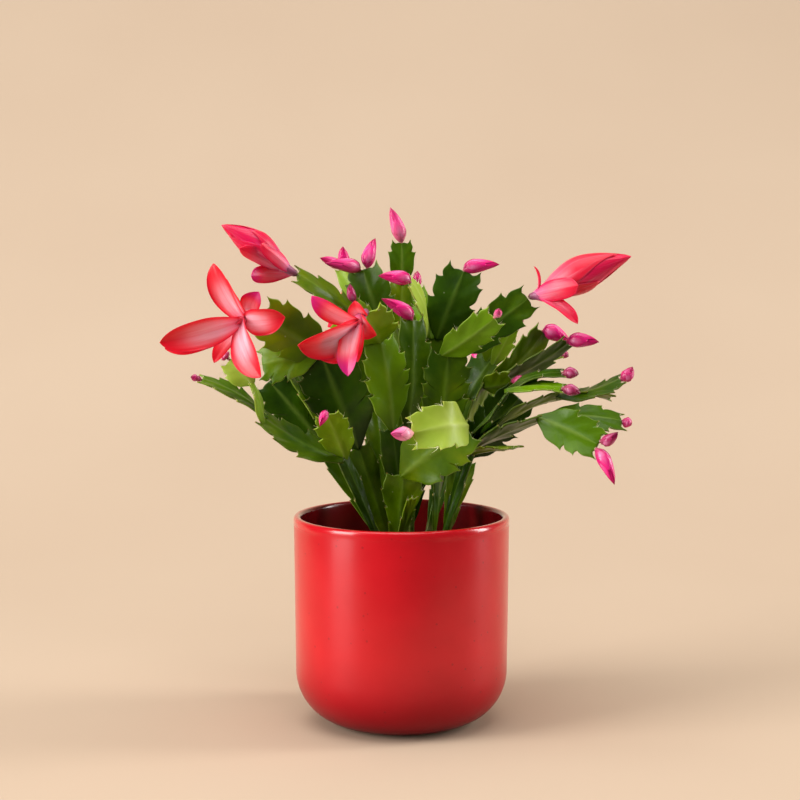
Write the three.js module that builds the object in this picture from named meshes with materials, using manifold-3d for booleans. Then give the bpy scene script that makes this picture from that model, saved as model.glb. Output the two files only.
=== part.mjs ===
// A potted holiday cactus: flat jointed stems with toothed edges, red blooms and pink buds,
// growing from potting soil in a round-bottomed glazed red pot.
// Millimetres, +Z up, origin at the centre of the pot's foot. The front looks along -Y.
import * as THREE from 'three';
import { mergeVertices } from 'three/addons/utils/BufferGeometryUtils.js';
import Module from 'manifold-3d';

const wasm = await Module();
wasm.setup();

// Driving sizes of the pot and the potting mix
const POT_RIM_RADIUS = 65;
const POT_BODY_RADIUS = 64;
const POT_HEIGHT = 126;
const POT_WALL = 4.4;
const POT_FLOOR = 5;
const POT_CORNER_RADIUS = 32;
const POT_SIDES = 32;
const SOIL_LEVEL = 102;
const SOIL_FLARE = 0.7;
const SOIL_RELIEF = 0.7;
const SOIL_RINGS = [44, 22, 0];
const SOIL_SIDES = 16;
const SEAT_GAP = 0.3;

// Driving sizes of the stems: the round foot of a stem, its midrib and its margins
const STUB_RADIUS = 2.6;
const STUB_DEPTH = 20;
const STUB_RISE = 4;
const STUB_SIDES = 6;
const STALK_HALF_WIDTH = 1.7;
const RIB_HALF = 1.35;
const RIB_POINTS = [0, 0.33, 0.68, 1];
const MARGIN_HALF = 0.42;
const OLD_GREEN = '#2c5411';
const YOUNG_GREEN = '#86ab3c';

// The outline of a blade: depth of a tooth in mm, where the blade is full, where its teeth are
// (shares of its length) and how narrow its foot and its end are (shares of its width). A young
// blade is full sooner, and its teeth are lower. The teeth of the lowest blades have worn away.
const TOOTH_DEPTH = 4.7;
const FULL_AT = 0.55;
const YOUNG_FULLER = 0.45;
const YOUNG_SOFTER = 0.4;
const LOWEST_SOFTER = 0.65;
const LOWEST_FULL_AT = 0.85;
const TEETH_FROM = 0.3;
const TEETH_SPAN = 0.56;
const FOOT_SHARE = 0.16;
const END_TAPER = 0.12;

// How a blade differs from a flat sheet: its most twist in degrees, and its cup across and the
// wave of its edges as shares of its width
const TWIST = 18;
const CUP_LEAST = -0.02;
const CUP_SPREAD = 0.1;
const WAVE = 0.035;
const USES = { twist: 11, cup: 12, wave: 14, teeth: 30 };

// How things that grow from the tip of a blade are set
const BLADE_SINK = 1.8;
const TIP_SPACING = 5.2;
const KNEE = 4;

// Driving sizes of the buds and blooms. Rings are how far along from 0 to 1 and the share of the
// full radius; the rows of a tepal are how far along and the share of its full width.
const BUD_NECK = 1.3;
const BUD_SIDES = 6;
const BUD_RINGS = [[0.28, 0.75], [0.52, 1], [0.76, 0.72], [0.92, 0.3]];
const BUD_LOBES = 0.1;
const SMALL_BUD = 6;
const SMALL_RINGS = [[0.35, 0.85], [0.65, 1], [0.88, 0.5]];
const SMALL_LOBES = 0.05;
const TUBE_RADIUS = 3.6;
const HEART_ARCH = 0.08;
const HEART_RINGS = [[0.03, 0.36], [0.2, 0.75], [0.42, 1], [0.66, 0.75], [0.86, 0.35], [0.95, 0.15]];
const TEPAL_HALF = 0.38;
const TEPAL_CUP = 0.13;
const TEPAL_ROWS = [[0, 0.35], [0.35, 0.95], [0.82, 0.86], [1, 0]];

// Each leafy stem: where it leaves the soil, then its blades in the order they grew.
// A blade is name, the blade it grows from, tip, width, turn of its face from the front in
// degrees, bow towards that face in mm, and youth from 0 (old, dark) to 1 (new, lime).
const STEMS = {
  stem_front: { root: [-4, -17], blades: [
    ['a', null, [1, -34, 155], 27, 10, 2, 0.2],
    ['finger', null, [6, -40, 142], 10, 30, 1, 0.2],
    ['b', 'a', [36, -58, 186], 34, -8, 4, 0.35],
    ['c', 'b', [6, -84, 185], 25, 20, 8, 1],
  ] },
  stem_centre: { root: [2, -4], blades: [
    ['a', null, [-6, -20, 181], 22, 30, 1, 0.1],
    ['b', 'a', [-13, -30, 233], 27, 35, 3, 0.5],
    ['c', 'b', [-20, -54, 250], 27, 0, 3, 0.5],
  ] },
  stem_middle: { root: [6, 8], blades: [
    ['a', null, [4, 2, 180], 20, 60, 1, 0.1],
    ['b', 'a', [6, -8, 244], 22, 35, 3, 0.35],
    ['c', 'a', [-3, 9, 238], 20, 75, 2, 0.2],
  ] },
  stem_right_upright: { root: [18, -8], blades: [
    ['a', null, [23, -18, 179], 17, 62, 1, 0.15],
    ['b', 'a', [27, -22, 225], 28, 12, 2, 0.2],
    ['c', 'b', [53, -44, 247], 19, 15, 3, 0.6],
    ['d', 'b', [74, -20, 257], 22, 0, 3, 0.25],
  ] },
  stem_left_tall: { root: [-7, -5], blades: [
    ['a', null, [-26, -22, 170], 21, 25, 1, 0.15],
    ['b', 'a', [-47, -34, 226], 36, 5, 3, 0.2],
    ['c', 'b', [-80, -40, 248], 30, -10, 3, 0.25],
    ['d', 'b', [-81, -30, 219], 24, 20, 2, 0.4],
  ] },
  stem_left_front: { root: [-12, -14], blades: [
    ['a', null, [-34, -38, 165], 13, 45, 1, 0.1],
    ['t', 'a', [-42, -62, 193], 19, 0, -2, 0.55],
    ['b', 'a', [-80, -40, 188], 24, 62, -3, 0.15],
    ['c', 'b', [-115, -44, 211], 17, 76, 3, 0.45],
    ['d', 'b', [-86, -52, 211], 16, 80, 1, 0.7],
    ['e', 'd', [-98, -50, 223], 17, 0, 1, 0.8],
  ] },
  stem_left_back: { root: [-11, 6], blades: [
    ['a', null, [-46, 10, 169], 20, 30, 1, 0.1],
    ['b', 'a', [-80, 6, 206], 27, 20, 2, 0.3],
    ['c', 'a', [-76, 15, 226], 18, 65, 2, 0.35],
  ] },
  stem_top_left: { root: [-7, 16], blades: [
    ['a', null, [-16, 28, 186], 24, 30, 1, 0.1],
    ['b', 'a', [-16, 22, 236], 28, 10, 2, 0.2],
    ['c', 'b', [-23, 24, 273], 27, -15, 2, 0.4],
    ['m', 'b', [-62, 0, 270], 21, 58, 3, 0.3],
    ['e', 'b', [-36, 38, 274], 15, 0, 1, 0.7],
    ['f', 'b', [-28, 10, 253], 10, 20, 1, 0.7],
  ] },
  stem_top: { root: [-2, 32], blades: [
    ['a', null, [-2, 45, 175], 22, 0, 1, 0.1],
    ['b', 'a', [-2, 52, 228], 24, -10, 1, 0.2],
    ['c', 'b', [0, 50, 264], 20, 15, 2, 0.35],
    ['d', 'c', [0, 50, 289], 16, 10, 1, 0.45],
  ] },
  stem_top_right: { root: [3, 20], blades: [
    ['a', null, [15, 24, 176], 22, 20, 1, 0.1],
    ['b', 'a', [18, 22, 232], 24, 0, 2, 0.2],
    ['c', 'b', [5, -2, 266], 17, 75, 4, 0.85],
    ['d', 'b', [38, 24, 272], 28, -5, 2, 0.2],
    ['e', 'b', [10, 34, 261], 12, 0, 1, 0.6],
  ] },
  stem_right_mid: { root: [14, 19], blades: [
    ['a', null, [31, 24, 162], 15, 40, 1, 0.1],
    ['b', 'a', [52, 14, 203], 20, 65, 2, 0.3],
    ['c', 'b', [66, -2, 207], 18, 30, 1, 0.4],
    ['d', 'b', [85, 8, 236], 20, 40, 3, 0.35],
    ['e', 'b', [98, -9, 231], 18, 55, 3, 0.4],
    ['f', 'b', [96, 20, 221], 14, -70, 2, 0.6],
  ] },
  stem_right_back: { root: [16, 33], blades: [
    ['a', null, [28, 48, 166], 18, 20, 1, 0.1],
    ['b', 'a', [43, 52, 193], 20, 20, 1, 0.2],
    ['c', 'b', [56, 50, 215], 26, -30, 1, 0.2],
    ['d', 'c', [65, 48, 232], 20, 20, 1, 0.5],
    ['e', 'c', [69, 44, 236], 11, 0, 1, 0.6],
  ] },
  stem_right_low: { root: [23, -15], blades: [
    ['a', null, [40, -26, 167], 14, -55, 1, 0.15],
    ['b', 'a', [81, -38, 188], 22, -112, 2, 0.2],
    ['c', 'a', [64, -52, 173], 17, -110, 1, 0.25],
    ['d', 'b', [112, -56, 175], 23, -20, 2, 0.45],
    ['e', 'b', [128, -34, 186], 19, -50, 3, 0.4],
  ] },
  stem_right_out: { root: [26, 8], blades: [
    ['a', null, [33, 8, 160], 14, 20, 1, 0.1],
    ['b', 'a', [70, 0, 197], 30, 20, 2, 0.1],
    ['c', 'a', [58, -16, 183], 16, -80, 1, 0.2],
    ['d', 'c', [93, -16, 199], 18, -112, 2, 0.25],
    ['e', 'd', [129, -18, 209], 18, -70, -3, 0.35],
    ['f', 'd', [124, -10, 198], 16, -100, 2, 0.3],
    ['g', 'a', [44, -12, 178], 14, 70, 1, 0.2],
    ['h', 'g', [63, -22, 203], 15, 80, 1, 0.2],
    ['i', 'h', [94, -24, 213], 15, -80, 3, 0.35],
    ['j', 'h', [93, -34, 205], 16, -75, 2, 0.5],
  ] },
  stem_back_left: { root: [-14, 27], blades: [
    ['a', null, [-28, 44, 160], 20, 30, 1, 0.1],
    ['b', 'a', [-44, 66, 200], 28, 30, 2, 0.2],
    ['c', 'b', [-66, 88, 227], 26, 40, 2, 0.4],
    ['d', 'b', [-36, 96, 233], 24, 10, 2, 0.4],
  ] },
  stem_back: { root: [4, 44], blades: [
    ['a', null, [8, 66, 155], 22, 10, 1, 0.1],
    ['b', 'a', [14, 92, 191], 28, -20, 2, 0.2],
    ['c', 'b', [4, 112, 223], 26, 20, 2, 0.4],
    ['d', 'b', [36, 108, 217], 24, -30, 2, 0.5],
  ] },
  stem_back_right: { root: [27, 22], blades: [
    ['a', null, [40, 40, 153], 18, -20, 1, 0.1],
    ['b', 'a', [60, 68, 185], 26, -40, 2, 0.2],
    ['c', 'b', [50, 94, 209], 24, -20, 2, 0.5],
  ] },
};

// Each bud: the stem and blade it sits on, its tip and its width
const BUDS = {
  bud_front: { on: ['stem_front', 'c'], tip: [-6, -95, 186], width: 7.5 },
  bud_middle: { on: ['stem_middle', 'b'], tip: [-12, -16, 257], width: 8 },
  bud_right_upright: { on: ['stem_right_upright', 'c'], tip: [55, -53, 252], width: 4 },
  bud_left_droop: { on: ['stem_left_front', 't'], tip: [-46, -70, 187], width: 4.5 },
  bud_left_far: { on: ['stem_left_front', 'c'], tip: [-121, -47, 213], width: 4 },
  bud_left_young: { on: ['stem_left_front', 'e'], tip: [-104, -50, 228], width: 4.5 },
  bud_crown_long: { on: ['stem_top_left', 'c'], tip: [-46, 6, 277], width: 8 },
  bud_crown_right: { on: ['stem_top_left', 'c'], tip: [-16, 31, 292], width: 8 },
  bud_crown_small: { on: ['stem_top_left', 'e'], tip: [-36, 34, 287], width: 6.5 },
  bud_crown_left: { on: ['stem_top_left', 'e'], tip: [-50, 28, 280], width: 6 },
  bud_crown_thin: { on: ['stem_top_left', 'f'], tip: [-31, 8, 265], width: 5 },
  bud_top: { on: ['stem_top', 'd'], tip: [-7, 48, 311], width: 8.5 },
  bud_arched: { on: ['stem_top_right', 'c'], tip: [-14, -7, 270], width: 8 },
  bud_right_high: { on: ['stem_top_right', 'd'], tip: [60, 26, 276], width: 8 },
  bud_upright: { on: ['stem_top_right', 'e'], tip: [10, 35, 272], width: 5.5 },
  bud_right_pair: { on: ['stem_right_mid', 'd'], tip: [102, 7, 229], width: 9 },
  bud_right_pair_far: { on: ['stem_right_mid', 'e'], tip: [117, -12, 231], width: 8.5 },
  bud_right_inner: { on: ['stem_right_mid', 'c'], tip: [76, -6, 206], width: 6.5 },
  bud_right_thin: { on: ['stem_right_mid', 'f'], tip: [102, 20, 220], width: 4.5 },
  bud_right_back: { on: ['stem_right_back', 'e'], tip: [76, 42, 241], width: 6 },
  bud_right_hanging: { on: ['stem_right_low', 'd'], tip: [121, -63, 153], width: 7.5 },
  bud_right_low: { on: ['stem_right_low', 'd'], tip: [123, -60, 183], width: 6 },
  bud_right_edge: { on: ['stem_right_low', 'e'], tip: [134, -34, 184], width: 6 },
  bud_far_right: { on: ['stem_right_out', 'e'], tip: [136, -18, 217], width: 7 },
  bud_slim_upper: { on: ['stem_right_out', 'i'], tip: [104, -24, 213], width: 6.5 },
  bud_slim_lower: { on: ['stem_right_out', 'j'], tip: [104, -35, 203], width: 6.5 },
  bud_back_left: { on: ['stem_back_left', 'c'], tip: [-79, 100, 235], width: 8 },
  bud_back: { on: ['stem_back', 'c'], tip: [0, 124, 237], width: 7.5 },
  bud_back_low: { on: ['stem_back', 'd'], tip: [46, 122, 221], width: 7 },
  bud_back_right: { on: ['stem_back_right', 'c'], tip: [48, 108, 217], width: 7 },
};

// Each bloom: the stem and blade it sits on, the mouth of its tube, its heart of tepals that are
// still closed (tip and width) or null, and its open tepals. A tepal is where it leaves the tube
// (0 foot, 1 mouth), its tip, its width, its bow along the bloom's axis, and how far its face is
// turned from that axis in degrees.
const BLOOMS = {
  bloom_left: { on: ['stem_left_tall', 'c'], mouth: [-94, -62, 244], heart: null, tepals: [
    [1.0, [-134, -78, 235], 17, 4, 0],
    [0.95, [-132, -72, 231], 15, 2, 0],
    [0.9, [-106, -66, 278], 15, 4, 0],
    [0.8, [-101, -52, 270], 10, 3, 0],
    [0.6, [-82, -54, 262], 14, 3, 0],
    [0.9, [-66, -66, 248], 16, 4, 0],
    [0.95, [-79, -82, 216], 19, 4, 0],
    [0.6, [-106, -62, 223], 11, 3, 0],
  ] },
  bloom_centre: { on: ['stem_centre', 'c'], mouth: [-26, -74, 242], heart: null, tepals: [
    [1.0, [-56, -92, 234], 21, 4, 0],
    [0.95, [-46, -84, 227], 19, 3, 0],
    [0.9, [-50, -80, 260], 13, 3, 0],
    [0.6, [-26, -68, 257], 11, 3, 0],
    [0.7, [-15, -74, 239], 13, 3, 0],
    [0.95, [-30, -90, 218], 13, 4, 0],
    [0.7, [-25, -82, 225], 10, 2, 0],
  ] },
  bloom_upper_left: {
    on: ['stem_top_left', 'm'],
    mouth: [-75, -4, 278],
    heart: { tip: [-106, -12, 300], width: 17 },
    tepals: [
      [0.4, [-89, -14, 270], 11, 3, 75],
      [0.6, [-95, -17, 287], 11, -2, 0],
      [0.5, [-83, -16, 289], 10, -2, 0],
    ],
  },
  bloom_right: {
    on: ['stem_right_upright', 'd'],
    mouth: [85, -24, 259],
    heart: { tip: [133, -32, 282], width: 21 },
    tepals: [
      [0.45, [102, -41, 266], 13, -3, 0],
      [0.7, [102, -36, 244], 9, 3, 55],
      [0.6, [78, -28, 276], 4, 2, 0],
    ],
  },
  bloom_back: {
    on: ['stem_back_left', 'd'],
    mouth: [-34, 112, 239],
    heart: { tip: [-34, 148, 257], width: 16 },
    tepals: [
      [0.7, [-48, 124, 233], 10, 2, 0],
      [0.7, [-22, 126, 237], 10, 2, 0],
      [0.6, [-36, 122, 255], 9, 2, 0],
    ],
  },
};

// Plain vector helpers on [x, y, z] arrays
const add = (p, q) => [p[0] + q[0], p[1] + q[1], p[2] + q[2]];
const sub = (p, q) => [p[0] - q[0], p[1] - q[1], p[2] - q[2]];
const mul = (p, k) => [p[0] * k, p[1] * k, p[2] * k];
const dot = (p, q) => p[0] * q[0] + p[1] * q[1] + p[2] * q[2];
const cross = (p, q) => [
  p[1] * q[2] - p[2] * q[1],
  p[2] * q[0] - p[0] * q[2],
  p[0] * q[1] - p[1] * q[0],
];
const size = (p) => Math.sqrt(dot(p, p));
const unit = (p) => mul(p, 1 / size(p));
const square = (p, d) => unit(sub(p, mul(d, dot(p, d))));
const radians = (degrees) => (degrees * Math.PI) / 180;

// A repeatable number from 0 to 1 for each blade and each use of it
function wobble(index, use) {
  const value = Math.sin(index * 12.9898 + use * 78.233) * 43758.5453;
  return value - Math.floor(value);
}

// A closed solid from its corners and triangles, with its faces turned out
function solidFrom(corners, triangles) {
  const volume = triangles.reduce((sum, [i, j, k]) => (
    sum + dot(corners[i], cross(corners[j], corners[k]))), 0);
  const outward = volume > 0 ? triangles : triangles.map(([i, j, k]) => [i, k, j]);
  return new wasm.Manifold(new wasm.Mesh({
    numProp: 3,
    vertProperties: new Float32Array(corners.flat()),
    triVerts: new Uint32Array(outward.flat()),
  }));
}

// A three.js geometry as a closed solid
function solidOf(geometry) {
  const bare = geometry.clone();
  bare.deleteAttribute('normal');
  bare.deleteAttribute('uv');
  const merged = mergeVertices(bare, 1e-4);
  const position = merged.attributes.position;
  const corners = Array.from({ length: position.count }, (_, i) => (
    [position.getX(i), position.getY(i), position.getZ(i)]));
  const triangles = [];
  for (let i = 0; i < merged.index.count; i += 3) {
    const [p, q, r] = merged.index.array.slice(i, i + 3);
    if (p !== q && q !== r && r !== p) triangles.push([p, q, r]);
  }
  return solidFrom(corners, triangles);
}

// A solid as a three.js geometry
function geometryOf(solid) {
  const { vertProperties, triVerts } = solid.getMesh();
  const geometry = new THREE.BufferGeometry();
  geometry.setAttribute('position', new THREE.BufferAttribute(vertProperties, 3));
  geometry.setIndex(new THREE.BufferAttribute(triVerts, 1));
  geometry.computeVertexNormals();
  return geometry;
}

// The one large body of a join, without the small hollows and scraps that crossings leave
function wholeOf(solid) {
  return solid.decompose().reduce((best, body) => (body.volume() > best.volume() ? body : best));
}

const cactus = new THREE.Group();

function place(name, solid, color, roughness) {
  const material = new THREE.MeshStandardMaterial({ color, roughness, metalness: 0 });
  const mesh = new THREE.Mesh(geometryOf(solid), material);
  mesh.name = name;
  cactus.add(mesh);
}

// The pot: one turned ceramic shell with a flat foot, round lower corners and a round lip
function potSolid() {
  const innerRim = POT_RIM_RADIUS - POT_WALL;
  const innerCorner = POT_CORNER_RADIUS - POT_WALL;
  const flat = POT_BODY_RADIUS - POT_CORNER_RADIUS;
  const lip = POT_WALL / 2;
  const profile = new THREE.Path();
  profile.moveTo(0, 0);
  profile.lineTo(flat, 0);
  profile.absarc(flat, POT_CORNER_RADIUS, POT_CORNER_RADIUS, -Math.PI / 2, 0, false);
  profile.lineTo(POT_RIM_RADIUS, POT_HEIGHT - lip);
  profile.absarc(innerRim + lip, POT_HEIGHT - lip, lip, 0, Math.PI, false);
  profile.lineTo(flat + innerCorner, POT_FLOOR + innerCorner);
  profile.absarc(flat, POT_FLOOR + innerCorner, innerCorner, 0, -Math.PI / 2, true);
  profile.lineTo(0, POT_FLOOR);
  return solidOf(new THREE.LatheGeometry(profile.getPoints(3), POT_SIDES).rotateX(Math.PI / 2));
}

// The potting mix: fills the pot to below the rim, its top raised into low crumbs by a sum of
// waves, with a plain hole for each stem
function soilSolid() {
  const corner = POT_CORNER_RADIUS - POT_WALL - SEAT_GAP;
  const flat = POT_BODY_RADIUS - POT_CORNER_RADIUS;
  const bottom = POT_FLOOR + SEAT_GAP;
  const profile = new THREE.Path();
  profile.moveTo(0, bottom);
  profile.lineTo(flat, bottom);
  profile.absarc(flat, bottom + corner, corner, -Math.PI / 2, 0, false);
  profile.lineTo(flat + corner + SOIL_FLARE, SOIL_LEVEL - 1);
  const points = profile.getPoints(3);
  for (const radius of SOIL_RINGS) points.push(new THREE.Vector2(radius, SOIL_LEVEL));
  const geometry = new THREE.LatheGeometry(points, SOIL_SIDES).rotateX(Math.PI / 2);
  const position = geometry.attributes.position;
  for (let i = 0; i < position.count; i += 1) {
    const [x, y, z] = [position.getX(i), position.getY(i), position.getZ(i)];
    const crumbs = Math.sin(x * 0.41 + 1) * Math.cos(y * 0.37) + Math.sin((x + y) * 0.23);
    if (z > SOIL_LEVEL - 0.5) position.setZ(i, z + SOIL_RELIEF * crumbs);
  }
  const holeRadius = STUB_RADIUS + SEAT_GAP;
  const holeBottom = SOIL_LEVEL - STUB_DEPTH - SEAT_GAP;
  let soil = solidOf(geometry);
  for (const { root: [x, y] } of Object.values(STEMS)) {
    const hole = new THREE.CylinderGeometry(holeRadius, holeRadius, 2 * STUB_DEPTH, STUB_SIDES);
    hole.rotateX(Math.PI / 2).translate(x, y, holeBottom + STUB_DEPTH);
    soil = soil.subtract(solidOf(hole));
  }
  return soil;
}

// The frame of a blade or tepal: its direction, the way its face looks and the way to its edge
function frameOf(foot, tip, turn) {
  const along = unit(sub(tip, foot));
  const front = square(Math.abs(along[1]) > 0.97 ? [0, 0, 1] : [0, -1, 0], along);
  const angle = radians(turn);
  const face = add(mul(front, Math.cos(angle)), mul(cross(along, front), Math.sin(angle)));
  return { foot, along, face, side: cross(along, face), length: size(sub(tip, foot)) };
}

// Half of a blade's outline as [along, out] in mm: a narrow foot that swells (slowly on the old
// lowest blades), teeth that point forward, a horn at the corner of the cut-off tip and a notch
// beside it
function halfOutline({ length, width, youth, lowest, index }, edge) {
  const fullAt = FULL_AT * (1 - YOUNG_FULLER * youth * youth);
  const swell = (a) => {
    const grown = lowest ? Math.min(1, a / LOWEST_FULL_AT) ** 1.5
      : Math.sin((Math.PI / 2) * Math.min(1, a / fullAt));
    const taper = 1 - END_TAPER * Math.max(0, (a - 0.7) / 0.3);
    return (width / 2) * (FOOT_SHARE + (1 - FOOT_SHARE) * grown) * taper;
  };
  const softer = (1 - YOUNG_SOFTER * youth * youth) * (lowest ? 1 - LOWEST_SOFTER : 1);
  const depth = TOOTH_DEPTH * Math.min(1, width / 24) * softer;
  const teeth = 1 + (length > 30 && width > 15) + (length > 46 && width > 24);
  const rows = [[0, STALK_HALF_WIDTH], [0.2, swell(0.2)]];
  for (let k = 0; k < teeth; k += 1) {
    const at = TEETH_FROM + (TEETH_SPAN * (k + 0.45 + 0.35 * wobble(index, edge + k))) / teeth;
    rows.push([at + (0.7 * depth) / length, swell(at) + 0.4 * depth]);
    rows.push([at + (0.78 * depth) / length, swell(at) - 0.6 * depth]);
  }
  rows.push([1 + (0.8 * depth) / length, swell(1) * 0.84]);
  rows.push([0.985, swell(1) * 0.5]);
  return rows.map(([a, out]) => [a * length, out]);
}

// Triangles between the margin and the midrib, whose points hold their distance along and
// their number: the midrib is stepped on once the margin has passed its next point, and its
// last point, the tip, comes after the whole margin
function zipper(margin, rib) {
  const triangles = [];
  let [i, j] = [0, 0];
  while (i < margin.length - 1 || j < rib.length - 1) {
    const marginDone = i === margin.length - 1;
    const ribNext = marginDone || (j < rib.length - 2 && rib[j + 1].along <= margin[i].along);
    if (ribNext) triangles.push([rib[j].at, margin[i].at, rib[j + 1].at]);
    else triangles.push([rib[j].at, margin[i].at, margin[i + 1].at]);
    if (ribNext) j += 1;
    else i += 1;
  }
  return triangles;
}

// One blade, a flattened length of stem. Its outline lies on a surface that is bowed along its
// length, cupped and waved across it and a little twisted. It is thickest on the midrib, and
// both faces are split into the same triangles.
function bladeSolid(frame, blade) {
  const { along, face, side } = frame;
  const { width, bow, index } = blade;
  const foot = sub(frame.foot, mul(along, BLADE_SINK));
  const length = frame.length + BLADE_SINK;
  const twist = radians(TWIST * (wobble(index, USES.twist) - 0.5));
  const cup = width * (CUP_LEAST + CUP_SPREAD * wobble(index, USES.cup));
  const phase = 2 * Math.PI * wobble(index, USES.wave);
  const corners = [];
  const put = (distance, out, thick) => {
    const a = distance / length;
    const turn = twist * (a - 0.3);
    const share = (2 * out) / width;
    const edge = add(mul(side, Math.cos(turn)), mul(face, Math.sin(turn)));
    const rise = bow * 4 * a * (1 - a) + cup * share * share * Math.min(1, 3 * a)
      + WAVE * width * share * Math.abs(share) * Math.sin(8 * a + phase);
    const middle = add(add(foot, mul(along, distance)), add(mul(edge, out), mul(face, rise)));
    corners.push(add(middle, mul(face, thick)), add(middle, mul(face, -thick)));
    return { along: distance, at: corners.length - 2 };
  };
  const ribHalf = (a) => (a === 0 ? 0.6 : 1.15 - 0.3 * a) * RIB_HALF * Math.min(1, width / 20 + 0.2);
  const rib = RIB_POINTS.map((a) => put(a * length, 0, ribHalf(a)));
  const halves = [1, -1].map((sign) => (
    halfOutline({ ...blade, length }, USES.teeth + 5 * sign).map(([distance, out]) => (
      put(distance, sign * out, distance < 0.1 * length ? 0.45 * RIB_HALF : MARGIN_HALF)))));
  const triangles = [];
  const top = [...zipper(halves[0], rib), ...zipper(halves[1], rib).map(([i, j, k]) => [i, k, j])];
  for (const [i, j, k] of top) triangles.push([i, j, k], [i + 1, k + 1, j + 1]);
  const ring = [...halves[0], rib.at(-1), ...[...halves[1]].reverse(), rib[0]].map(({ at }) => at);
  ring.forEach((p, n) => {
    const q = ring[(n + 1) % ring.length];
    triangles.push([p, p + 1, q + 1], [p, q + 1, q]);
  });
  return solidFrom(corners, triangles);
}

// A bent line from a foot to a tip that sets out the way the blade under it points: for a from
// 0 to 1 it gives the point there and the way on. Its knee lies KNEE times lean from the foot.
function bentLine(foot, lean, tip) {
  const knee = add(foot, mul(lean, Math.min(KNEE, 0.45 * size(sub(tip, foot)))));
  return (a) => ({
    point: add(add(mul(foot, (1 - a) ** 2), mul(knee, 2 * a * (1 - a))), mul(tip, a * a)),
    along: unit(add(mul(sub(knee, foot), 1 - a), mul(sub(tip, knee), a))),
  });
}

// Rings with their shares of a radius in mm
const scaled = (rings, radius) => rings.map(([a, share]) => [a, share * radius]);

// A pointed solid of rings round a bent line: each ring is how far along from 0 to 1 and its
// radius. The lobes are the ridges of overlapping tepals, which wind a little round the line.
function spindleSolid(line, rings, lobes) {
  const sides = BUD_SIDES;
  const chord = unit(sub(line(1).point, line(0).point));
  const upright = Math.abs(chord[1]) > 0.9 ? [0, 0, 1] : [0, -1, 0];
  const corners = [];
  for (const [a, radius] of rings) {
    const { point, along } = line(a);
    const face = square(upright, along);
    const side = cross(along, face);
    for (let n = 0; n < sides; n += 1) {
      const angle = (2 * Math.PI * n) / sides;
      const reach = radius * (1 + (n % 2 ? -lobes : lobes));
      const [across, up] = [reach * Math.cos(angle + 0.5 * a), reach * Math.sin(angle + 0.5 * a)];
      corners.push(add(point, add(mul(side, across), mul(face, up))));
    }
  }
  const base = corners.push(line(0).point) - 1;
  const point = corners.push(line(1).point) - 1;
  const triangles = [];
  const last = (rings.length - 1) * sides;
  for (let n = 0; n < sides; n += 1) {
    const next = (n + 1) % sides;
    triangles.push([base, next, n], [point, last + n, last + next]);
    for (let ring = 0; ring < last; ring += sides) {
      triangles.push([ring + n, ring + next, ring + sides + next]);
      triangles.push([ring + n, ring + sides + next, ring + sides + n]);
    }
  }
  return solidFrom(corners, triangles);
}

// A bud: a round neck, then overlapping tepals that swell and close to a point
function budSolid(seat, tip, width) {
  const line = bentLine(seat.point, seat.lean, tip);
  const length = size(sub(tip, seat.point));
  const small = width < SMALL_BUD;
  const neck = Math.min(BUD_NECK, 0.2 * width);
  const swell = scaled(small ? SMALL_RINGS : BUD_RINGS, width / 2);
  const rings = [[0.9 / length, neck], [2.4 / length, neck], ...swell];
  return spindleSolid(line, rings, small ? SMALL_LOBES : BUD_LOBES);
}

// One tepal: a thin leaf-shaped piece whose inner face looks along the bloom's axis or is turned
// from it, bowed towards that side along its length and cupped across it
function tepalSolid(foot, tip, axis, width, bow, turn) {
  const along = unit(sub(tip, foot));
  const inward = square(axis, along);
  const angle = radians(turn);
  const face = add(mul(inward, Math.cos(angle)), mul(cross(along, inward), Math.sin(angle)));
  const side = cross(along, face);
  const length = size(sub(tip, foot));
  const corners = [];
  for (const [a, share] of TEPAL_ROWS) {
    for (const across of a === 1 ? [0] : [-1, 0, 1]) {
      const rise = bow * 4 * a * (1 - a) + TEPAL_CUP * width * share * across * across;
      const out = (across * share * width) / 2;
      const middle = add(add(foot, mul(along, a * length)), add(mul(side, out), mul(face, rise)));
      const thick = TEPAL_HALF * (across === 0 ? 1.25 : 1);
      corners.push(add(middle, mul(face, thick)), add(middle, mul(face, -thick)));
    }
  }
  const top = [];
  const rows = TEPAL_ROWS.length - 1;
  for (let row = 0; row < rows; row += 1) {
    for (const step of [0, 2]) {
      const [p, q] = [6 * row + step, 6 * row + step + 2];
      const end = row === rows - 1;
      if (end) top.push([p, q, 6 * rows]);
      else top.push([p, q, q + 6], [p, q + 6, p + 6]);
    }
  }
  const triangles = top.flatMap(([i, j, k]) => [[i, j, k], [i + 1, k + 1, j + 1]]);
  const left = Array.from({ length: rows }, (_, row) => 6 * row);
  const right = left.map((p) => p + 4).reverse();
  const ring = [2, ...[...right].reverse(), 6 * rows, ...[...left].reverse()];
  ring.forEach((p, n) => {
    const q = ring[(n + 1) % ring.length];
    triangles.push([p, p + 1, q + 1], [p, q + 1, q]);
  });
  return solidFrom(corners, triangles);
}

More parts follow.
